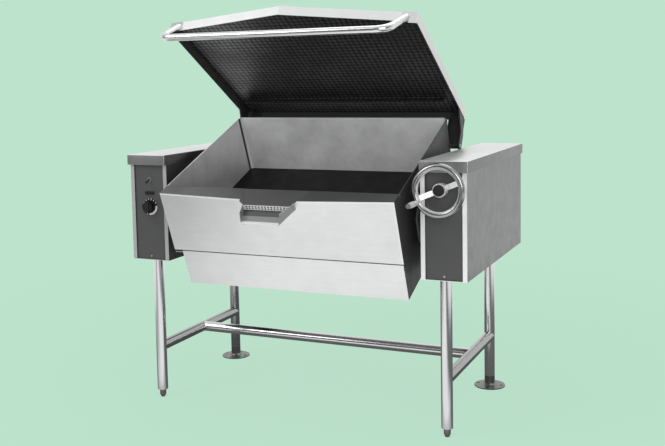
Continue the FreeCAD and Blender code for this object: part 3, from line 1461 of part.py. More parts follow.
def lid_handle():
    """Full-width tube handle, bent down from the lid's front edge to a bar, with a pad at each corner."""
    radius = g.handle_tube.value / 2
    top = (g.rim_up + g.lid_above).value
    y_corner = (front - g.lid_ahead).value
    slope = (g.lid_point / g.lid_half).value
    foot_y = y_corner - (g.lid_half - g.handle_foot_half).value * slope
    foot = Vector(g.handle_foot_half.value, foot_y, top - g.handle_foot_down.value)
    corner = Vector(g.handle_half.value, y_corner - g.handle_ahead.value, top - g.handle_down.value)
    points = [Vector(-foot.x, foot.y, foot.z), Vector(-corner.x, corner.y, corner.z), corner, foot]
    path = rounded_path(points, g.handle_bend.value)
    start = path.Edges[0].Vertexes[0].Point
    heading = (points[1] - points[0]).normalize()
    ring = Part.Wire([Part.makeCircle(radius, start, heading)])
    inner_ring = Part.Wire([Part.makeCircle(radius - g.handle_wall.value, start, heading)])
    shape = path.makePipeShell([ring], True, True).cut(path.makePipeShell([inner_ring], True, True))
    strap = g.lid_half.value - foot.x + radius
    for side in (-1, 1):
        for wide, tall in ((g.handle_pad_wide.value, g.handle_pad_tall.value),
                           (strap, g.handle_foot_down.value + radius)):
            edge = [Vector(side * (g.lid_half.value - along), y_corner - along * slope, top)
                    for along in (0, wide)]
            ends = edge + [edge[1] - Y * g.arm_thick.value, edge[0] - Y * g.arm_thick.value]
            shape = shape.fuse(Part.Face(Part.makePolygon(ends + [ends[0]])).extrude(-Z * tall))
    plain_solids("lid_handle", shape.cut(lid_space()).removeSplitter(), lid_frame)


def lid_space():
    """The lid's own plan as a tall solid, so that what is welded on stops at its front edge."""
    corners = [Vector(float(corner[0]), float(corner[1]), 0) for corner in lid_outline(as_size(0), as_size(0))]
    face = Part.Face(Part.makePolygon(corners + [corners[0]]))
    return face.extrude(Z * (3 * g.rim_up.value))


def rounded_path(points, radius):
    """Straight runs joined by arcs that meet them smoothly."""
    edges = []
    start = points[0]
    for k in range(1, len(points) - 1):
        before = (points[k - 1] - points[k]).normalize()
        after = (points[k + 1] - points[k]).normalize()
        half_turn = before.getAngle(after) / 2
        cut = radius / math.tan(half_turn)
        first, last = points[k] + before * cut, points[k] + after * cut
        centre_way = (before + after).normalize()
        centre = points[k] + centre_way * (radius / math.sin(half_turn))
        middle = centre - centre_way * radius
        edges.append(Part.LineSegment(start, first).toShape())
        edges.append(Part.Arc(first, middle, last).toShape())
        start = last
    edges.append(Part.LineSegment(start, points[-1]).toShape())
    return Part.Wire(edges)


def lid_arms():
    """Channel-shaped arms that carry the lid from its rear corners down to the hinge shaft."""
    top = g.rim_up + g.lid_above - g.lid_sheet
    flange_low = g.rim_up + g.lid_above - g.lid_deep
    corner_back = front - g.lid_ahead + g.lid_side - g.pan_corner
    web_back = front - g.lid_ahead + g.lid_side - g.lid_sheet - g.weld_gap
    web_front = rear + g.hem_thick + g.arm_gap
    thick, outer = g.arm_thick, g.lid_half - g.lid_sheet - g.weld_gap
    inner = outer - g.arm_across
    reach = g.arm_wide / 2
    low = flange_low - g.fit_gap
    for side in (-1, 1):
        made = new_body(mirror_word(side) + "_lid_arm", lid_frame)
        sketch = new_sketch(made, "YZ_Plane", side * outer)
        outline(sketch, [
            (hinge_y - reach, hinge_z - reach * 0.4), (hinge_y - reach * 0.4, hinge_z - reach),
            (hinge_y + reach * 0.4, hinge_z - reach), (hinge_y + reach, hinge_z - reach * 0.4),
            (hinge_y + reach, g.rim_up - 2 * g.lid_deep), (corner_back, low), (corner_back, top),
            (corner_back - 3 * g.arm_wide, top), (hinge_y - reach, g.rim_up - 2 * g.lid_deep),
        ])
        pad(made, sketch, thick, reverse=side > 0)
        block(made, (side * outer, web_back - thick, hinge_z), (side * inner, web_back, low))
        block(made, (side * inner, web_front, hinge_z), (side * (inner + thick), web_back, low))
        rounded = side * (outer - g.pan_corner)
        block(made, (rounded, web_back - thick, low), (side * inner, web_back, top))
        eye = 2 * (hinge_y - web_front)
        rod(made, "YZ_Plane", side * outer, hinge_y, hinge_z, eye, g.arm_across, reverse=side > 0)
        middle = side * (outer + inner) / 2
        hole = g.hinge_shaft + 2 * g.press_gap
        bore(made, "YZ_Plane", middle, hinge_y, hinge_z, hole, 2 * g.arm_across, both=True)


def hinge():
    """Hinge housing across the pan's back, with a cheek at each end, the shaft and its springs."""
    box_z = g.hinge_box_tall / 2
    housing = new_body("hinge_housing", pan_frame)
    end = g.lid_half - g.lid_sheet - g.weld_gap
    long = end - g.arm_across - g.arm_gap
    block(housing, (-long, rear, hinge_z - box_z), (long, rear + g.hinge_box_deep, hinge_z + box_z))
    sketch = new_sketch(housing, "XZ_Plane", -rear)
    inside = long - g.cheek_thick
    rectangle(sketch, -inside, hinge_z - box_z + g.sheet, inside, hinge_z + box_z - g.sheet)
    pocket(housing, sketch, g.hinge_box_deep - g.sheet)
    bore(housing, "YZ_Plane", 0, hinge_y, hinge_z, g.hinge_shaft + 2 * g.running_gap, 4 * half, both=True)
    shaft = new_body("hinge_shaft", lid_frame)
    rod(shaft, "YZ_Plane", -end, hinge_y, hinge_z, g.hinge_shaft, 2 * end)
    springs = []
    radius = g.hinge_shaft.value / 2
    for side in (-1, 1):
        at = Vector(side * g.spring_start.value, hinge_y.value, hinge_z.value)
        coil = Part.makeCylinder(g.spring_over.value / 2, g.spring_long.value, at, X * side)
        hole = Part.makeCylinder(radius + g.fit_gap.value, g.spring_long.value, at, X * side)
        springs.append(coil.cut(hole))
    plain_solids("torsion_springs", Part.makeCompound(springs), pan_frame)


def drip_baffle():
    """Slanted strip under the lid that leads condensate back into the pan."""
    made = new_body("drip_baffle", lid_frame)
    top = g.rim_up + g.lid_above - g.lid_sheet
    y0 = front - g.lid_ahead + g.lid_side - g.baffle_ahead
    lean = math.radians(g.baffle_lean.value)
    run, fall = g.baffle_tall * math.sin(lean), g.baffle_tall * math.cos(lean)
    thick = g.lid_sheet
    flange = y0 + g.baffle_flange
    sketch = new_sketch(made, "YZ_Plane", -g.baffle_half)
    outline(sketch, [
        (y0, top), (flange, top), (flange, top - thick), (y0 + thick, top - thick),
        (y0 + thick - run, top - fall), (y0 - run, top - fall), (y0, top - thick),
    ])
    pad(made, sketch, 2 * g.baffle_half)


make_stand()
for hand in (-1, 1):
    bullet_foot(hand)
    flange_foot(hand)
shaft_hole = g.worm_shaft_round + 2 * g.shaft_bush_wall
screw_hole = g.screw_round + 2 * g.bolt_gap
console_panel(1, [(drive_x, handwheel_z, shaft_hole), (panel_x, screw_z, screw_hole)])
console_panel(-1, [
    (-panel_x, knob_z, g.switch_neck), (-panel_x, switch_z, g.switch_neck + g.fit_gap),
    (-panel_x, lamp_z, g.lamp_neck + g.fit_gap), (-panel_x, screw_z, screw_hole),
])
for hand in (-1, 1):
    console_shell(hand)
    console_cap(hand)
    carrier_plate(hand)
    trunnion_bearing(hand)
frame_bolts()
bronze_bushes()
worm_wheel()
worm_shaft()
worm_bracket()
handwheel()
hub_cap()
crank_parts()
controls()
electrics()
supply_gland()
panel_screws()
pan_shell()
cooking_plate()
front_skin()
spout()
strainer()
heaters(*heater_casing())
trunnions()
lid_shell()
lid_handle()
lid_arms()
hinge()
drip_baffle()


def check_and_write():
    """Stops if any object failed or any sub-part is not a valid solid, then writes one file for each."""
    doc.recompute()
    for thing in doc.Objects:
        if "Invalid" in thing.State or "Error" in thing.State:
            raise RuntimeError(f"{thing.Label} did not recompute: {thing.State}")
    for node in NODES:
        shape = node.Shape
        if shape.isNull() or not shape.isValid() or not shape.Solids:
            raise RuntimeError(f"{node.Label} is not a valid solid")
    os.makedirs("parts", exist_ok=True)
    for node in NODES:
        node.Shape.exportStep(os.path.join("parts", node.Label + ".step"))
        box = node.Shape.BoundBox
        print(f"{node.Label:26s} {len(node.Shape.Solids):3d} solids  volume {node.Shape.Volume:12.1f}"
              f"  y {box.YMin:8.1f} {box.YMax:8.1f}  z {box.ZMin:8.1f} {box.ZMax:8.1f}")


check_and_write()
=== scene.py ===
import json
import math

import bmesh
import bpy
from mathutils import Euler, Matrix, Vector

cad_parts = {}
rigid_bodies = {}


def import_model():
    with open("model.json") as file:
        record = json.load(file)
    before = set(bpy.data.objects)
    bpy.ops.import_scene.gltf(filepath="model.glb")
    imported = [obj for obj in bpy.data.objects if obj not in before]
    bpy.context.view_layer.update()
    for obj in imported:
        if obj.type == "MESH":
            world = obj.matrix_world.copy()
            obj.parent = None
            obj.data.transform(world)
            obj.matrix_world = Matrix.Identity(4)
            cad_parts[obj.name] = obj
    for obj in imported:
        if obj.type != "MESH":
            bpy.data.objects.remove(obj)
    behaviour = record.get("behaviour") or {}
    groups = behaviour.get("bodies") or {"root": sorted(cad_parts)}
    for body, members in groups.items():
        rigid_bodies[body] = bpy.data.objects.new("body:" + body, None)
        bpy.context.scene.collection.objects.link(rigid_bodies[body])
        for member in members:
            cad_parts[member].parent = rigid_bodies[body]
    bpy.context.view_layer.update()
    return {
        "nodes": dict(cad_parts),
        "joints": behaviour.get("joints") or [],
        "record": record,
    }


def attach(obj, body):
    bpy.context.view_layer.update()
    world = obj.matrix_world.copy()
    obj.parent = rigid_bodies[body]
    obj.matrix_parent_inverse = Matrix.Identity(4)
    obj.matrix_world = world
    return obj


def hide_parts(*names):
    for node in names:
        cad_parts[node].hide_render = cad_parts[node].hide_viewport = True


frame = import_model()
nodes = frame["nodes"]
joints = {joint["name"]: joint for joint in frame["joints"]}

# Places that the scene works out from the frame, in metres and radians

TILT = math.radians(-joints["pan_tilt"]["range_deg"][0])
TRUNNION = Vector(joints["pan_tilt"]["pos_m"])
HINGE = Vector(joints["lid_swing"]["pos_m"])
LID_OPEN = math.radians(joints["lid_swing"]["range_deg"][1])
KNOB = Vector(joints["thermostat_turn"]["pos_m"])
WHEEL = Vector(joints["handwheel_turn"]["pos_m"])
PAN = Matrix.Translation(TRUNNION) @ Matrix.Rotation(TILT, 4, "X")
LID = Matrix.Translation(HINGE) @ Matrix.Rotation(TILT - LID_OPEN, 4, "X")


# Shader building blocks

MIX_FACTOR, MIX_FIRST, MIX_SECOND, MIX_RESULT = 0, 6, 7, 2


class Nodes:
    """A node tree whose nodes are added one by one and joined by name."""

    def __init__(self, tree):
        self.tree = tree
        self.tree.nodes.clear()

    def add(self, kind, **settings):
        node = self.tree.nodes.new(kind)
        for name, value in settings.items():
            if name in node.inputs:
                node.inputs[name].default_value = value
            else:
                setattr(node, name, value)
        return node

    def join(self, source, out, target, entry):
        self.tree.links.new(source.outputs[out], target.inputs[entry])

    def place(self, stretch=(1.0, 1.0, 1.0), turn=(0.0, 0.0, 0.0)):
        """Object coordinates, stretched and turned."""
        where = self.add("ShaderNodeTexCoord")
        mapping = self.add("ShaderNodeMapping", Scale=stretch, Rotation=turn)
        self.join(where, "Object", mapping, "Vector")
        return mapping

    def axes(self, source, out):
        """The X, Y and Z of a place."""
        sides = self.add("ShaderNodeSeparateXYZ")
        self.join(source, out, sides, 0)
        return sides

    def noise(self, where, scale, detail=4.0, rough=0.5):
        noise = self.add("ShaderNodeTexNoise", Scale=scale, Detail=detail, Roughness=rough)
        self.join(where, "Vector", noise, "Vector")
        return noise

    def ramp(self, source, out, low, high, start=0.0, end=1.0):
        """Maps a signal from start to end onto low to high."""
        spread = self.add("ShaderNodeMapRange")
        for entry, value in (("From Min", start), ("From Max", end), ("To Min", low), ("To Max", high)):
            spread.inputs[entry].default_value = value
        self.join(source, out, spread, "Value")
        return spread

    def both(self, kind, first, second):
        """Joins two signals by an operation."""
        node = self.add("ShaderNodeMath", operation=kind)
        self.join(first, 0, node, 0)
        self.join(second, 0, node, 1)
        return node

    def by(self, kind, source, out, number):
        """A signal changed by an operation with a number."""
        node = self.add("ShaderNodeMath", operation=kind)
        self.join(source, out, node, 0)
        node.inputs[1].default_value = number
        return node

    def mix(self, factor, first, second):
        """Mixes two colours by a signal."""
        blend = self.add("ShaderNodeMix", data_type="RGBA")
        self.join(factor, 0, blend, MIX_FACTOR)
        for entry, colour in ((MIX_FIRST, first), (MIX_SECOND, second)):
            if isinstance(colour, tuple):
                blend.inputs[entry].default_value = (*colour, 1.0)
            else:
                self.join(colour, MIX_RESULT, blend, entry)
        return blend

    def choose(self, factor, out, plain, special):
        """Mixes two shaders by a signal."""
        mixed = self.add("ShaderNodeMixShader")
        self.join(factor, out, mixed, 0)
        self.join(plain, 0, mixed, 1)
        self.join(special, 0, mixed, 2)
        return mixed

    def reflected(self, path):
        """1 for rays that metal or glass has sent on, else 0."""
        either = self.add("ShaderNodeMath", operation="MAXIMUM")
        self.join(path, "Is Glossy Ray", either, 0)
        self.join(path, "Is Transmission Ray", either, 1)
        return either


class Shader(Nodes):
    """A material with one main surface."""

    def __init__(self, name):
        self.material = bpy.data.materials.new(name)
        self.material.use_nodes = True
        super().__init__(self.material.node_tree)
        self.output = self.add("ShaderNodeOutputMaterial")
        self.surface = self.add("ShaderNodeBsdfPrincipled")
        self.join(self.surface, "BSDF", self.output, "Surface")

    def set(self, name, value):
        self.surface.inputs[name].default_value = value

    def colour(self, blend):
        self.join(blend, MIX_RESULT, self.surface, "Base Color")

    def roughness(self, signal):
        self.join(signal, 0, self.surface, "Roughness")

    def bump(self, source, height, strength):
        bump = self.add("ShaderNodeBump", Distance=height, Strength=strength)
        self.join(source, 0, bump, "Height")
        self.join(bump, "Normal", self.surface, "Normal")


# Finishes. Noise scales are per metre, bump heights in metres.

SCRATCHES, SCRATCH_STRETCH, SCRATCH_HEIGHT = 350.0, 0.012, 0.00004
CLOUDS, SMUDGES, METAL_CLOUDS, PLASTIC_CLOUDS, LID_CLOUDS = 9.0, 20.7, 30.0, 45.0, 5.0
TOOL_MARKS, TOOL_STRETCH, TOOL_HEIGHT = 900.0, 0.05, 0.00006
POLISH_STRETCH, POLISH_HEIGHT = 0.15, 0.000005
GRAIN, DIAL_GRAIN_HEIGHT = 1200.0, 0.00005
FIBRES, FIBRE_HEIGHT = 350.0, 0.002
CELLS, CELL_IRREGULARITY, CELL_HEIGHT = 50.0, 0.12, -0.0012
DIAL_MARKS = 15.0
# Painted highlight: the angles where the dial's white arc starts and ends.
DIAL_HIGHLIGHT_START, DIAL_HIGHLIGHT_END = (-1.75, -1.68), (0.0, 0.08)
DIAL_BLACK, DIAL_WHITE = (0.02, 0.02, 0.02), (0.86, 0.86, 0.84)
WOOL_DARK, WOOL_LIGHT = (0.42, 0.36, 0.18), (0.76, 0.68, 0.42)


def grey(value):
    return (value, value, value)


def brushed_steel(name, tone, rough, along, metallic=1.0, clouds=0.035, lighter=None):
    """Rolled and brushed stainless sheet: fine scratches along one axis, faint clouds and worn edges.

    lighter is an axis, where along it the sheet starts and ends to brighten, and its tone there: painted light, a
    brighter zone where more light falls."""
    made = Shader(name)
    stretch = [1.0, 1.0, 1.0]
    stretch[along] = SCRATCH_STRETCH
    scratches = made.noise(made.place(tuple(stretch)), SCRATCHES, 3.0, 0.6)
    where = made.place()
    cloud = made.ramp(made.noise(where, CLOUDS, 5.0, 0.6), 0, 0.0, 1.0, 0.35, 0.65)
    base = made.mix(cloud, grey(tone * (1 - clouds)), grey(tone * (1 + clouds)))
    # Painted light: along the given axis the sheet brightens towards the given tone.
    if lighter:
        axis, start, end, bright = lighter
        painted_light_tone = made.mix(cloud, grey(bright * (1 - clouds)), grey(bright))
        base = made.mix(made.ramp(made.axes(where, "Vector"), axis, 0.0, 1.0, start, end), base, painted_light_tone)
    brushed = made.mix(made.ramp(scratches, 0, 0.0, 0.22, 0.30, 0.75), base, grey(tone * 0.72))
    edges = made.add("ShaderNodeNewGeometry")
    worn = made.ramp(edges, "Pointiness", 0.0, 0.2, 0.52, 0.60)
    made.colour(made.mix(worn, brushed, grey(min(1.0, tone * 1.25))))
    smudge = made.noise(where, SMUDGES, 3.0, 0.5)
    level = made.ramp(smudge, 0, rough * 0.92, rough * 1.1, 0.35, 0.65)
    made.roughness(made.both("ADD", made.by("MULTIPLY", scratches, 0, 0.12), level))
    made.bump(scratches, SCRATCH_HEIGHT, 0.5)
    made.set("Metallic", metallic)
    return made.material


def polished_steel(name, tone, rough, metallic=1.0):
    """Polished tube or casting: long faint polishing lines and slight dulling in clouds."""
    made = Shader(name)
    lines = made.noise(made.place((1.0, 1.0, POLISH_STRETCH)), TOOL_MARKS, 3.0, 0.6)
    cloud = made.noise(made.place(), CLOUDS, 4.0, 0.6)
    base = made.mix(made.ramp(cloud, 0, 0.0, 1.0, 0.35, 0.7), grey(tone * 0.94), grey(tone))
    made.colour(made.mix(made.ramp(lines, 0, 0.0, 0.3, 0.45, 0.75), base, grey(tone * 0.8)))
    made.roughness(made.ramp(cloud, 0, rough * 0.9, rough * 1.1, 0.3, 0.7))
    made.bump(lines, POLISH_HEIGHT, 0.08)
    made.set("Metallic", metallic)
    return made.material


def machined(name, colour, rough, metallic=1.0):
    """Turned, ground or painted part with faint tool marks."""
    made = Shader(name)
    marks = made.noise(made.place((TOOL_STRETCH, 1.0, 1.0)), TOOL_MARKS, 3.0, 0.6)
    cloud = made.noise(made.place(), METAL_CLOUDS, 4.0, 0.6)
    made.colour(made.mix(made.ramp(cloud, 0, 0.0, 1.0, 0.3, 0.7), tuple(c * 0.72 for c in colour), colour))
    made.roughness(made.ramp(marks, 0, rough * 0.8, rough * 1.3, 0.3, 0.7))
    made.bump(marks, TOOL_HEIGHT, 0.5)
    made.set("Metallic", metallic)
    return made.material


def moulded(name, colour, rough, grain=0.00008, gloss=0.5, worn_share=0.6):
    """Moulded plastic with a fine grain and slight wear on its edges."""
    made = Shader(name)
    where = made.place()
    cloud = made.noise(where, PLASTIC_CLOUDS, 4.0, 0.6)
    lighter = tuple(min(1.0, c * 1.5 + 0.01) for c in colour)
    base = made.mix(made.ramp(cloud, 0, 0.0, 0.5, 0.4, 0.7), colour, lighter)
    edges = made.add("ShaderNodeNewGeometry")
    worn = made.ramp(edges, "Pointiness", 0.0, worn_share, 0.53, 0.62)
    made.colour(made.mix(worn, base, tuple(min(1.0, c + 0.12) for c in colour)))
    made.roughness(made.ramp(cloud, 0, rough * 0.85, rough * 1.2, 0.3, 0.7))
    made.bump(made.noise(where, GRAIN, 2.0, 0.5), grain, 0.5)
    made.set("Specular IOR Level", gloss)
    return made.material


def wool(name):
    made = Shader(name)
    fibres = made.noise(made.place(), FIBRES, 6.0, 0.7)
    made.colour(made.mix(made.ramp(fibres, 0, 0.0, 1.0, 0.3, 0.7), WOOL_DARK, WOOL_LIGHT))
    made.bump(fibres, FIBRE_HEIGHT, 0.8)
    made.set("Roughness", 0.95)
    return made.material


def patterned_sheet(name, tone):
    """Stainless sheet rolled with close rows of raised cells, dull, with a dark tone that is painted shade on the
    lid's inner side, and painted light and shade on the cells.
    """
    made = Shader(name)
    where = made.place(turn=(LID_OPEN - TILT, 0.0, 0.0))
    cells = made.add("ShaderNodeTexVoronoi", voronoi_dimensions="2D", Scale=CELLS,
                     Randomness=CELL_IRREGULARITY)
    made.join(where, "Vector", cells, "Vector")
    cloud = made.noise(where, LID_CLOUDS, 5.0, 0.6)
    # Painted light and shade: the cells' middles are lighter and their borders darker.
    base = made.mix(made.ramp(cells, 0, 0.0, 1.0, 0.20, 0.60), grey(tone * 1.9), grey(tone * 0.2))
    made.colour(made.mix(made.ramp(cloud, 0, 0.0, 0.6, 0.40, 0.65), base, grey(tone * 0.5)))
    made.roughness(made.ramp(cloud, 0, 0.34, 0.46, 0.3, 0.7))
    made.bump(cells, CELL_HEIGHT, 0.8)
    made.set("Metallic", 0.85)
    return made.material


def dial_face(name):
    """A black dial with a white arc at its lower right, a painted highlight, and white marks round the rest."""
    made = Shader(name)
    where = made.place()
    sides = made.axes(where, 0)
    angle = made.both("ARCTAN2", made.by("SUBTRACT", sides, "Z", KNOB.z), made.by("SUBTRACT", sides, "X", KNOB.x))
    # Painted highlight: a white arc on the dial's lower right.
    arc = made.both("MULTIPLY", made.ramp(angle, 0, 0.0, 1.0, *DIAL_HIGHLIGHT_START),
                    made.ramp(angle, 0, 1.0, 0.0, *DIAL_HIGHLIGHT_END))
    wave = made.add("ShaderNodeMath", operation="SINE")
    made.join(made.by("MULTIPLY", angle, 0, DIAL_MARKS), 0, wave, 0)
    marks = made.ramp(wave, 0, 0.0, 0.9, 0.80, 0.90)
    made.colour(made.mix(made.both("MAXIMUM", arc, marks), DIAL_BLACK, DIAL_WHITE))
    fine = made.noise(where, GRAIN, 2.0, 0.5)
    made.roughness(made.ramp(fine, 0, 0.35, 0.5, 0.3, 0.7))
    made.bump(fine, DIAL_GRAIN_HEIGHT, 0.4)
    return made.material


ACROSS, DEEP, UP = 0, 1, 2  # the axis that a brushed sheet's scratches run along

MATERIALS = {
    "pan_steel": brushed_steel("pan_brushed_steel", 0.82, 0.28, ACROSS),
    # The pan's inner walls carry painted light: they brighten towards the right, and the left wall towards its
    # top. The left wall is a darker copy of the same steel: painted shade.
    "pan_inner": brushed_steel("pan_inner_steel", 0.78, 0.36, UP, 0.3, clouds=0.14,
                               lighter=("X", 0.10, 0.40, 0.98)),
    "pan_inner_left": brushed_steel("pan_left_wall_steel", 0.46, 0.36, UP, 0.3, clouds=0.14,
                                    lighter=("Z", 0.82, 1.00, 0.95)),
    # Painted shade: the outer sides of the pan, its skin and its casing are near black, as if in shade.
    "pan_side": brushed_steel("pan_side_steel", 0.07, 0.45, UP, 0.5),
    # Painted shade: the outer rear of the pan and its casing is a darker copy of the front's steel.
    "pan_rear": brushed_steel("pan_rear_steel", 0.50, 0.32, ACROSS),
    # Painted shade: the front and right of the pan's top flange and the spout's top behind the chute are a dark
    # copy of the pan's steel.
    "ledge": brushed_steel("ledge_steel", 0.15, 0.42, ACROSS, 0.7),
    "spout_steel": brushed_steel("spout_steel", 0.42, 0.38, DEEP, 0.7),
    # Painted highlight: bright strips on the pan's rim and edges, the skin's top and right edge, the spout's lip
    # and wing tops, the strainer's faces and the caps' rounded edges.
    "painted_highlight": polished_steel("bright_edge", 0.95, 0.25, 0.3),
    # Painted shade: near-black strips along the skin's foot, on the pan's rear left inner corner, and in and
    # behind the strainer's holes.
    "seam": machined("dark_seam", (0.05, 0.05, 0.05), 0.6, 0.2),
    # Painted shade: the lid's underside gets a dark tone.
    "lid_steel": patterned_sheet("lid_patterned_steel", 0.13),
    # The lid's outer faces, its top and its front are lighter and darker copies of one steel: painted light and
    # shade.
    "lid_outer": brushed_steel("lid_brushed_steel", 0.74, 0.28, ACROSS, 0.8),
    "lid_top": brushed_steel("lid_top_steel", 0.58, 0.30, ACROSS),
    "lid_front": brushed_steel("lid_front_steel", 0.80, 0.32, ACROSS, 0.6),
    # The lid's arms are near black.
    "arm_paint": machined("black_painted_arm", (0.03, 0.03, 0.03), 0.4, 0.0),
    "casing_steel": brushed_steel("casing_brushed_steel", 0.28, 0.38, UP),
    # Painted shade: the consoles' sides facing the pan and the lid's inward faces are near black.
    "casing_inner": brushed_steel("casing_inner_steel", 0.07, 0.45, UP, 0.4),
    # The left trim is a darker copy and the right trim a lighter copy of one steel: painted shade and painted
    # light.
    "trim_left": brushed_steel("left_trim_steel", 0.42, 0.35, UP, 0.2),
    "trim_right": brushed_steel("right_trim_steel", 0.92, 0.35, UP, 0.2),
    "panel_steel": brushed_steel("panel_dark_steel", 0.09, 0.42, UP, 0.3),
    # The caps' top, front and sides are lighter and darker copies of one steel: painted light on the top, painted
    # shade on the front and sides.
    "cap_steel": brushed_steel("cap_brushed_steel", 0.85, 0.30, DEEP, 0.8),
    "cap_front": brushed_steel("cap_front_steel", 0.42, 0.32, ACROSS),
    "cap_side": brushed_steel("cap_side_steel", 0.25, 0.34, DEEP),
    "tube_steel": polished_steel("polished_tube", 0.80, 0.14),
    # Painted shade: a darker copy of the tube steel.
    "tube_painted_shade": polished_steel("dull_tube", 0.45, 0.20),
    "foot_steel": machined("turned_foot", (0.30, 0.30, 0.29), 0.35),
    # A darker copy of the spokes' chrome, which the wheel's rim gets: painted shade.
    "wheel_chrome": polished_steel("polished_wheel", 0.42, 0.22),
    # The lighter copy, on the spokes and the crank's grip.
    "spoke_chrome": polished_steel("bright_spoke", 0.85, 0.28, 0.4),
    "handle_chrome": polished_steel("polished_handle", 0.86, 0.19),
    "black_plastic": moulded("black_moulding", (0.008, 0.008, 0.008), 0.45, gloss=0.25, worn_share=0.1),
    "dial_face": dial_face("dial_face"),
    "lamp_lens": moulded("lamp_lens", (0.012, 0.006, 0.006), 0.30, 0.00001, 0.2, 0.1),
    "grey_plastic": moulded("grey_moulding", (0.22, 0.22, 0.23), 0.5),
    "forged_steel": machined("painted_plate", (0.22, 0.23, 0.24), 0.5, 0.2),
    "bearing_iron": machined("bearing_iron", (0.16, 0.16, 0.16), 0.55),
    "shaft_steel": machined("ground_shaft", (0.50, 0.50, 0.50), 0.25),
    "bronze": machined("bronze", (0.52, 0.33, 0.14), 0.32),
    "plate_steel": brushed_steel("cooking_plate_steel", 0.012, 0.38, ACROSS, 1.0),
    "element_alloy": machined("element_sheath", (0.10, 0.11, 0.10), 0.6, 0.6),
    "mineral_wool": wool("mineral_wool"),
}
# Painted shade: the side stretchers and the rear left leg get the darker copy of the tube steel.
OTHER_FINISH = {"left_stretcher": "tube_painted_shade", "right_stretcher": "tube_painted_shade", "rear_left_leg": "tube_painted_shade"}

slots = {}
bodies = {}
for part in frame["record"]["subparts"]:
    name = part["node"]
    holder = nodes[name]
    slots[name] = part["material_slot"]
    bodies[name] = holder.parent.name.split(":")[1]
    holder.data.materials.clear()
    holder.data.materials.append(MATERIALS[OTHER_FINISH.get(name, slots[name])])


# Pieces whose faces differ in finish

WELD_WITHIN = 0.00002
FLAT_WITHIN = math.radians(0.2)
CORNER_FROM = 1.0
SHARP_FROM = math.radians(40)
ROUNDING, ROUNDING_STEPS = 0.0015, 3


def plane(axis, where):
    """A cutting plane across an axis: a place on it and its direction."""
    across = Vector([float(letter == axis) for letter in "xyz"])
    return across * where, across


def dressed(name, finish, frame_of=Matrix.Identity(4), cuts=(), rounded=None):
    """A copy of a CAD piece with a finish for each face, cut along planes and rounded along chosen edges.

    finish gets a face's centre and normal in the given frame and names a material, or none for the piece's
    own. rounded gets the middle of an edge there and says whether it is rounded."""
    mesh = nodes[name].data.copy()
    to_frame = frame_of.inverted()
    if cuts or rounded:
        if "custom_normal" in mesh.attributes:
            mesh.attributes.remove(mesh.attributes["custom_normal"])
        work = bmesh.new()
        work.from_mesh(mesh)
        bmesh.ops.remove_doubles(work, verts=work.verts, dist=WELD_WITHIN)
        bmesh.ops.dissolve_limit(work, angle_limit=FLAT_WITHIN, verts=work.verts, edges=work.edges)
        for place, across in cuts:
            bmesh.ops.bisect_plane(work, geom=work.verts[:] + work.edges[:] + work.faces[:],
                                   plane_co=frame_of @ place, plane_no=frame_of.to_3x3() @ across)
        if rounded:
            corners = [edge for edge in work.edges
                       if len(edge.link_faces) == 2 and edge.calc_face_angle(0.0) > CORNER_FROM]
            picked = [edge for edge in corners
                      if rounded(to_frame @ ((edge.verts[0].co + edge.verts[1].co) / 2))]
            bmesh.ops.bevel(work, geom=picked, offset=ROUNDING, segments=ROUNDING_STEPS, profile=0.5,
                            affect="EDGES", clamp_overlap=True)
        work.to_mesh(mesh)
        work.free()
        mesh.shade_smooth()
        mesh.set_sharp_from_angle(angle=SHARP_FROM)
    piece = bpy.data.objects.new(name + "_dressed", mesh)
    bpy.context.scene.collection.objects.link(piece)
    mesh.materials.clear()
    names = []
    for face in mesh.polygons:
        chosen = finish(to_frame @ face.center, to_frame.to_3x3() @ face.normal) or slots[name]
        if chosen not in names:
            names.append(chosen)
        face.material_index = names.index(chosen)
    for chosen in names:
        mesh.materials.append(MATERIALS[chosen])
    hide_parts(name)
    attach(piece, bodies[name])


# Bounds of the finishes. Those of the pan, its skin and its spout are in the pan's frame, the lid's in the
# lid's frame, and the rest in the object's. A face looks along an axis if that share of its normal does.

LOOKS = 0.9
FRONT_PART, REAR_PART = -0.3, 0.3
RIM_LOW, RIM_STRIP = 0.15, 0.199
LEDGE_BACK, LEDGE_CUT, LEDGE_SIDE = -0.2, -0.231, 0.44
# The pan's rear left inner corner, where its rounded faces get a painted highlight and painted shade.
CORNER_LINES_X, CORNER_LINES_Y = -0.431, 0.345
SKIN_FOOT, SKIN_FOOT_CUT, SKIN_TOP, SKIN_SIDE = -0.035, -0.0352, 0.1975, 0.4465
CHUTE_START, LIP_START, LIP_FRONT = -0.355, -0.384, -0.392
CHUTE_EDGE_X, CHUTE_EDGE_Y, CHUTE_EDGE_Z = 0.07, -0.308, 0.18
LID_INNER, LID_MIDDLE, LID_INWARD = 0.15, 0.37, -0.002
CONSOLE_INNER_X = 0.505
CAP_TOP, CAP_SKIRT, CAP_END_Y, CAP_SIDE_X = 0.9495, 0.92, 0.31, 0.4995
SPOKE_REACH = 0.072


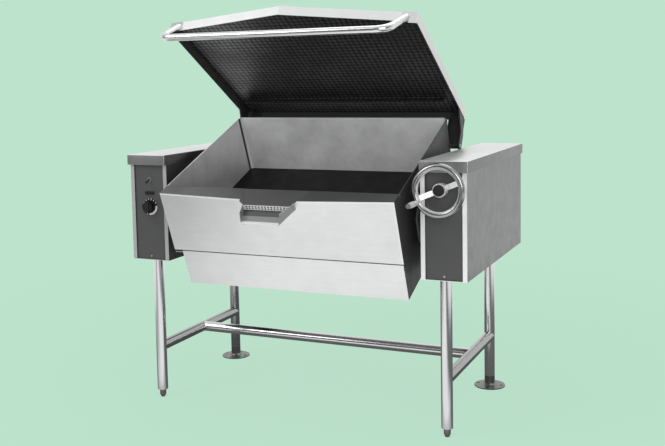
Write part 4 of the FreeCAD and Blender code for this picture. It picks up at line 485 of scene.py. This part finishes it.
def pan_finish(centre, normal):
    # Painted highlight on the back of the top flange, the rear wall's top strip and the faces looking forward at
    # the front; painted shade on the front and right of the top flange, in the rear left corner and on the outer
    # sides; lighter and darker copies on the outer rear and the inner walls: painted light and shade.
    if normal.z > LOOKS and centre.z > RIM_LOW:
        return "ledge" if centre.y < LEDGE_BACK or centre.x > LEDGE_SIDE else "painted_highlight"
    upright = abs(normal.z) < 0.2
    if centre.x < CORNER_LINES_X and centre.y > CORNER_LINES_Y and upright and 0.2 < abs(normal.x) < 0.98:
        return "painted_highlight" if abs(normal.y) > abs(normal.x) else "seam"
    if normal.y < -LOOKS and centre.y > REAR_PART and centre.z > RIM_STRIP:
        return "painted_highlight"
    if normal.y < -LOOKS and centre.y < FRONT_PART:
        return "painted_highlight"
    if abs(normal.x) > LOOKS:
        outward = normal.x * centre.x > 0
        return "pan_side" if outward else "pan_inner" if centre.x > 0 else "pan_inner_left"
    if normal.y > LOOKS and centre.y > REAR_PART:
        return "pan_rear"
    if normal.y < -LOOKS and centre.y > REAR_PART or normal.y > LOOKS and centre.y < 0.0:
        return "pan_inner"


def skin_finish(centre, normal):
    # Painted shade on the sides and along the foot; painted highlight on the front's top strip and right edge.
    if abs(normal.x) > 0.7:
        return "pan_side"
    if centre.z < SKIN_FOOT:
        return "seam"
    if normal.y < -0.5 and (centre.z > SKIN_TOP or centre.x > SKIN_SIDE):
        return "painted_highlight"


def casing_finish(centre, normal):
    # Painted shade: darker copies on the rear and the outer sides.
    if normal.y > LOOKS and centre.y > REAR_PART:
        return "pan_rear"
    if abs(normal.x) > LOOKS and normal.x * centre.x > 0:
        return "pan_side"


def spout_finish(centre, normal):
    # Painted highlight on the wings' top edges and the lip; painted shade on the top behind the chute.
    if normal.z > LOOKS:
        wing_edge = abs(centre.x) > CHUTE_EDGE_X and centre.z > CHUTE_EDGE_Z and centre.y < CHUTE_EDGE_Y
        if wing_edge or centre.y < LIP_START:
            return "painted_highlight"
        return "ledge" if centre.y > CHUTE_START else "spout_steel"
    return "painted_highlight" if centre.y < LIP_FRONT and normal.y < -0.5 else "spout_steel"


def strainer_finish(centre, normal):
    # Painted highlight on the plate's front, top and bottom faces; painted shade in its holes and on its back.
    return "painted_highlight" if abs(normal.z) > 0.8 or normal.y < -0.8 else "seam"


def lid_finish(centre, normal):
    # Painted shade on the underside and the inward faces; the top, the front and the other outer faces are
    # lighter and darker copies of one steel: painted light and shade.
    if normal.z < -LOOKS and centre.z > LID_INNER:
        return "lid_steel"
    if normal.z > LOOKS:
        return "lid_top"
    inward = normal.x * centre.x + normal.y * (centre.y + LID_MIDDLE) < LID_INWARD and abs(normal.z) < 0.5
    return "casing_inner" if inward else "lid_front" if normal.y < -0.5 else "lid_outer"


def console_finish(trim):
    def finish(centre, normal):
        # Painted light and shade: the front trims are lighter and darker copies, and the sides facing the pan are
        # near black.
        if normal.y < -LOOKS and centre.y < FRONT_PART:
            return trim
        if abs(centre.x) < CONSOLE_INNER_X and normal.x * centre.x < 0:
            return "casing_inner"
    return finish


def cap_finish(centre, normal):
    # Painted light on the top and bottom, painted shade on the front and sides, painted highlight on the rounded
    # edges.
    if abs(normal.z) > 0.95:
        return "cap_steel"
    if normal.y < -0.95:
        return "cap_front"
    return "cap_side" if abs(normal.x) > 0.95 or normal.y > 0.95 else "painted_highlight"


def cap_edge(middle):
    at_corner = abs(middle.y) > CAP_END_Y and middle.z > CAP_SKIRT and abs(middle.x) > CAP_SIDE_X
    return middle.z > CAP_TOP or at_corner


def wheel_finish(centre, normal):
    # Painted shade: the rim gets a darker copy of the spokes' chrome.
    on_spoke = math.hypot(centre.x - WHEEL.x, centre.z - WHEEL.z) < SPOKE_REACH
    return "spoke_chrome" if on_spoke else "wheel_chrome"


dressed("pan_shell", pan_finish, PAN, (plane("z", RIM_STRIP), plane("y", LEDGE_CUT), plane("x", LEDGE_SIDE)))
dressed("front_skin", skin_finish, PAN, (plane("z", SKIN_FOOT_CUT), plane("z", SKIN_TOP), plane("x", SKIN_SIDE)))
dressed("heater_casing", casing_finish, PAN)
dressed("pour_spout", spout_finish, PAN, (plane("y", LIP_START), plane("y", CHUTE_START)))
dressed("strainer", strainer_finish, PAN)
dressed("lid_shell", lid_finish, LID)
dressed("lid_handle", lambda centre, normal: "handle_chrome")
for side in ("left", "right"):
    dressed(side + "_console_shell", console_finish("trim_" + side))
    dressed(side + "_console_cap", cap_finish, rounded=cap_edge)
dressed("handwheel", wheel_finish)
dressed("crank_grip", lambda centre, normal: "spoke_chrome")


# Stage: floor, world, lamps and camera

BACKGROUND = (0.515, 0.768, 0.610)
FLOOR_RADIUS, FLOOR_SIDES = 6.0, 128
SPECKLES, SPECKLE_TONE = 300.0, 0.98
SHADOW_SHARE, SHADOW_NEAR, SHADOW_FAR = 0.14, 1.2, 3.0
BOUNCE = (0.66, 0.68, 0.67, 1.0)
SKY_COLOUR, SKY_LIGHT = (0.98, 0.99, 1.0, 1.0), 0.62

# What metal sees. On the floor it is a painted reflection that glows brighter and darker by place, with painted
# shade under and behind the object and to its right. Each row is an axis, the brightness before and after a
# change, and where it starts and ends.
MIRRORED = (0.98, 1.0, 0.99, 1.0)
MIRRORED_SHADE = 0.18
# Painted shade: how dimly the floor glows to metal under and behind the object and to its right.
PAINTED_SHADE_UNDER = 0.06
FLOOR_MIDDLE = ("X", 0.40, 1.05, -1.2, -0.45)
FLOOR_FAR_LEFT = ("X", 0.95, 0.0, -2.2, -1.4)
FLOOR_FAR_BACK = ("Y", 0.0, 0.95, 0.8, 1.8)
OPEN_IN_FRONT = ("Y", 1.0, PAINTED_SHADE_UNDER, -0.5, -0.2)
OPEN_TO_THE_LEFT = ("X", 1.0, PAINTED_SHADE_UNDER, 0.75, 1.25)
BEYOND_BACK = ("Y", PAINTED_SHADE_UNDER, 1.0, 1.1, 2.0)
BEYOND_RIGHT = ("X", PAINTED_SHADE_UNDER, 1.0, 1.9, 2.6)
BEYOND_LEFT = ("X", 1.0, PAINTED_SHADE_UNDER, -1.6, -1.1)
SWEEP_BEHIND = ("Y", 0.10, 0.86, -0.55, 0.45)
CEILING = ("Z", 0.0, 0.75, 0.25, 0.85)

# Place, aim, size and watts
LAMPS = {
    "key": ((-2.4, -2.7, 3.1), (0, -0.2, 0.8), (2.4, 2.4), 55.0),
    "fill": ((2.4, -3.2, 2.0), (0.2, 0, 0.85), (2.2, 2.2), 45.0),
    "top": ((0.2, 0.8, 3.4), (0, 0, 0.9), (2.6, 1.6), 18.0),
}

# The camera as fitted to the photo, in its pixels, metres and degrees
PHOTO_WIDTH, PHOTO_TALL = 665, 446
SENSOR = 36.0
FOCAL_PIXELS = 953.34
PRINCIPAL = (322.0, 160.0)
CAMERA_PLACE = (1.5001, -3.3170, 1.2399)
CAMERA_YAW, CAMERA_PITCH, CAMERA_ROLL = (math.radians(angle) for angle in (24.271, 5.118, -1.084))


def floor():
    """The camera sees the photo's background with the object's soft shadow. Metal sees a painted reflection:
    a pale floor glowing brighter and darker by place, with painted shade under and behind the object and to
    its right.
    """
    bpy.ops.mesh.primitive_circle_add(vertices=FLOOR_SIDES, radius=FLOOR_RADIUS, fill_type="NGON")
    disc = bpy.context.object
    disc.name = "floor"
    made = Shader("floor")
    where = made.place()
    speckle = made.ramp(made.noise(where, SPECKLES, 3.0, 0.5), 0, 0.0, 1.0, 0.3, 0.7)
    made.colour(made.mix(speckle, tuple(c * SPECKLE_TONE for c in BACKGROUND), BACKGROUND))
    made.set("Roughness", 0.9)
    made.set("Specular IOR Level", 0.0)
    path = made.add("ShaderNodeLightPath")
    distance = made.add("ShaderNodeVectorMath", operation="LENGTH")
    made.join(where, 0, distance, 0)
    shadow = made.ramp(distance, "Value", SHADOW_SHARE, 0.0, SHADOW_NEAR, SHADOW_FAR)
    seen = made.choose(shadow, 0, made.add("ShaderNodeEmission", Color=(*BACKGROUND, 1.0)), made.surface)
    bounce = made.add("ShaderNodeBsdfDiffuse", Color=BOUNCE)
    # Painted reflection: to metal the floor glows in zones, with painted light towards the right of the middle
    # and far off, and painted shade under and behind the object and to its right.
    sides = made.axes(where, 0)
    far = made.both("MAXIMUM", made.ramp(sides, *FLOOR_FAR_LEFT), made.ramp(sides, *FLOOR_FAR_BACK))
    bright = made.both("MAXIMUM", made.ramp(sides, *FLOOR_MIDDLE), far)
    near = made.both("MINIMUM", made.ramp(sides, *OPEN_IN_FRONT), made.ramp(sides, *OPEN_TO_THE_LEFT))
    beside = made.both("MAXIMUM", made.ramp(sides, *BEYOND_RIGHT), made.ramp(sides, *BEYOND_LEFT))
    beyond = made.both("MAXIMUM", made.ramp(sides, *BEYOND_BACK), beside)
    mirrored = made.add("ShaderNodeEmission", Color=MIRRORED)
    made.join(made.both("MULTIPLY", bright, made.both("MAXIMUM", near, beyond)), 0, mirrored, "Strength")
    shaded = made.add("ShaderNodeMixShader")
    shaded.inputs[0].default_value = MIRRORED_SHADE
    made.join(mirrored, 0, shaded, 1)
    made.join(bounce, 0, shaded, 2)
    plain = made.choose(path, "Is Camera Ray", bounce, seen)
    made.join(made.choose(made.reflected(path), 0, plain, shaded), 0, made.output, "Surface")
    disc.data.materials.append(made.material)


def world():
    """A plain studio: the photo's background to the camera, and to metal a bright sweep behind the object
    and a dim room in front of it."""
    sky = bpy.data.worlds.new("studio")
    bpy.context.scene.world = sky
    sky.use_nodes = True
    made = Nodes(sky.node_tree)
    out = made.add("ShaderNodeOutputWorld")
    path = made.add("ShaderNodeLightPath")
    shown = made.add("ShaderNodeBackground", Color=(*BACKGROUND, 1.0))
    lit = made.add("ShaderNodeBackground", Color=SKY_COLOUR, Strength=SKY_LIGHT)
    sides = made.axes(made.add("ShaderNodeTexCoord"), "Generated")
    level = made.both("MAXIMUM", made.ramp(sides, *SWEEP_BEHIND), made.ramp(sides, *CEILING))
    mirrored = made.add("ShaderNodeBackground", Color=MIRRORED)
    made.join(level, 0, mirrored, "Strength")
    plain = made.choose(path, "Is Camera Ray", lit, shown)
    made.join(made.choose(made.reflected(path), 0, plain, mirrored), 0, out, "Surface")


def lamp(name, place, aim, size, power):
    light = bpy.data.lights.new(name, "AREA")
    light.shape = "RECTANGLE"
    light.size, light.size_y = size
    light.energy = power
    holder = bpy.data.objects.new(name, light)
    bpy.context.scene.collection.objects.link(holder)
    holder.location = place
    holder.rotation_euler = (Vector(aim) - Vector(place)).to_track_quat("-Z", "Y").to_euler()


def camera():
    lens = bpy.data.cameras.new("photo_view")
    lens.sensor_width = SENSOR
    lens.lens = SENSOR * FOCAL_PIXELS / PHOTO_WIDTH
    lens.shift_x = (PHOTO_WIDTH / 2 - PRINCIPAL[0]) / PHOTO_WIDTH
    lens.shift_y = (PRINCIPAL[1] - PHOTO_TALL / 2) / PHOTO_WIDTH
    holder = bpy.data.objects.new("photo_view", lens)
    bpy.context.scene.collection.objects.link(holder)
    level = Euler((math.pi / 2 - CAMERA_PITCH, 0, CAMERA_YAW)).to_matrix().to_4x4()
    holder.matrix_world = Matrix.Translation(CAMERA_PLACE) @ level @ Matrix.Rotation(CAMERA_ROLL, 4, "Z")
    bpy.context.scene.camera = holder


floor()
world()
for name, settings in LAMPS.items():
    lamp(name, *settings)
camera()
bpy.context.scene.view_settings.view_transform = "Standard"
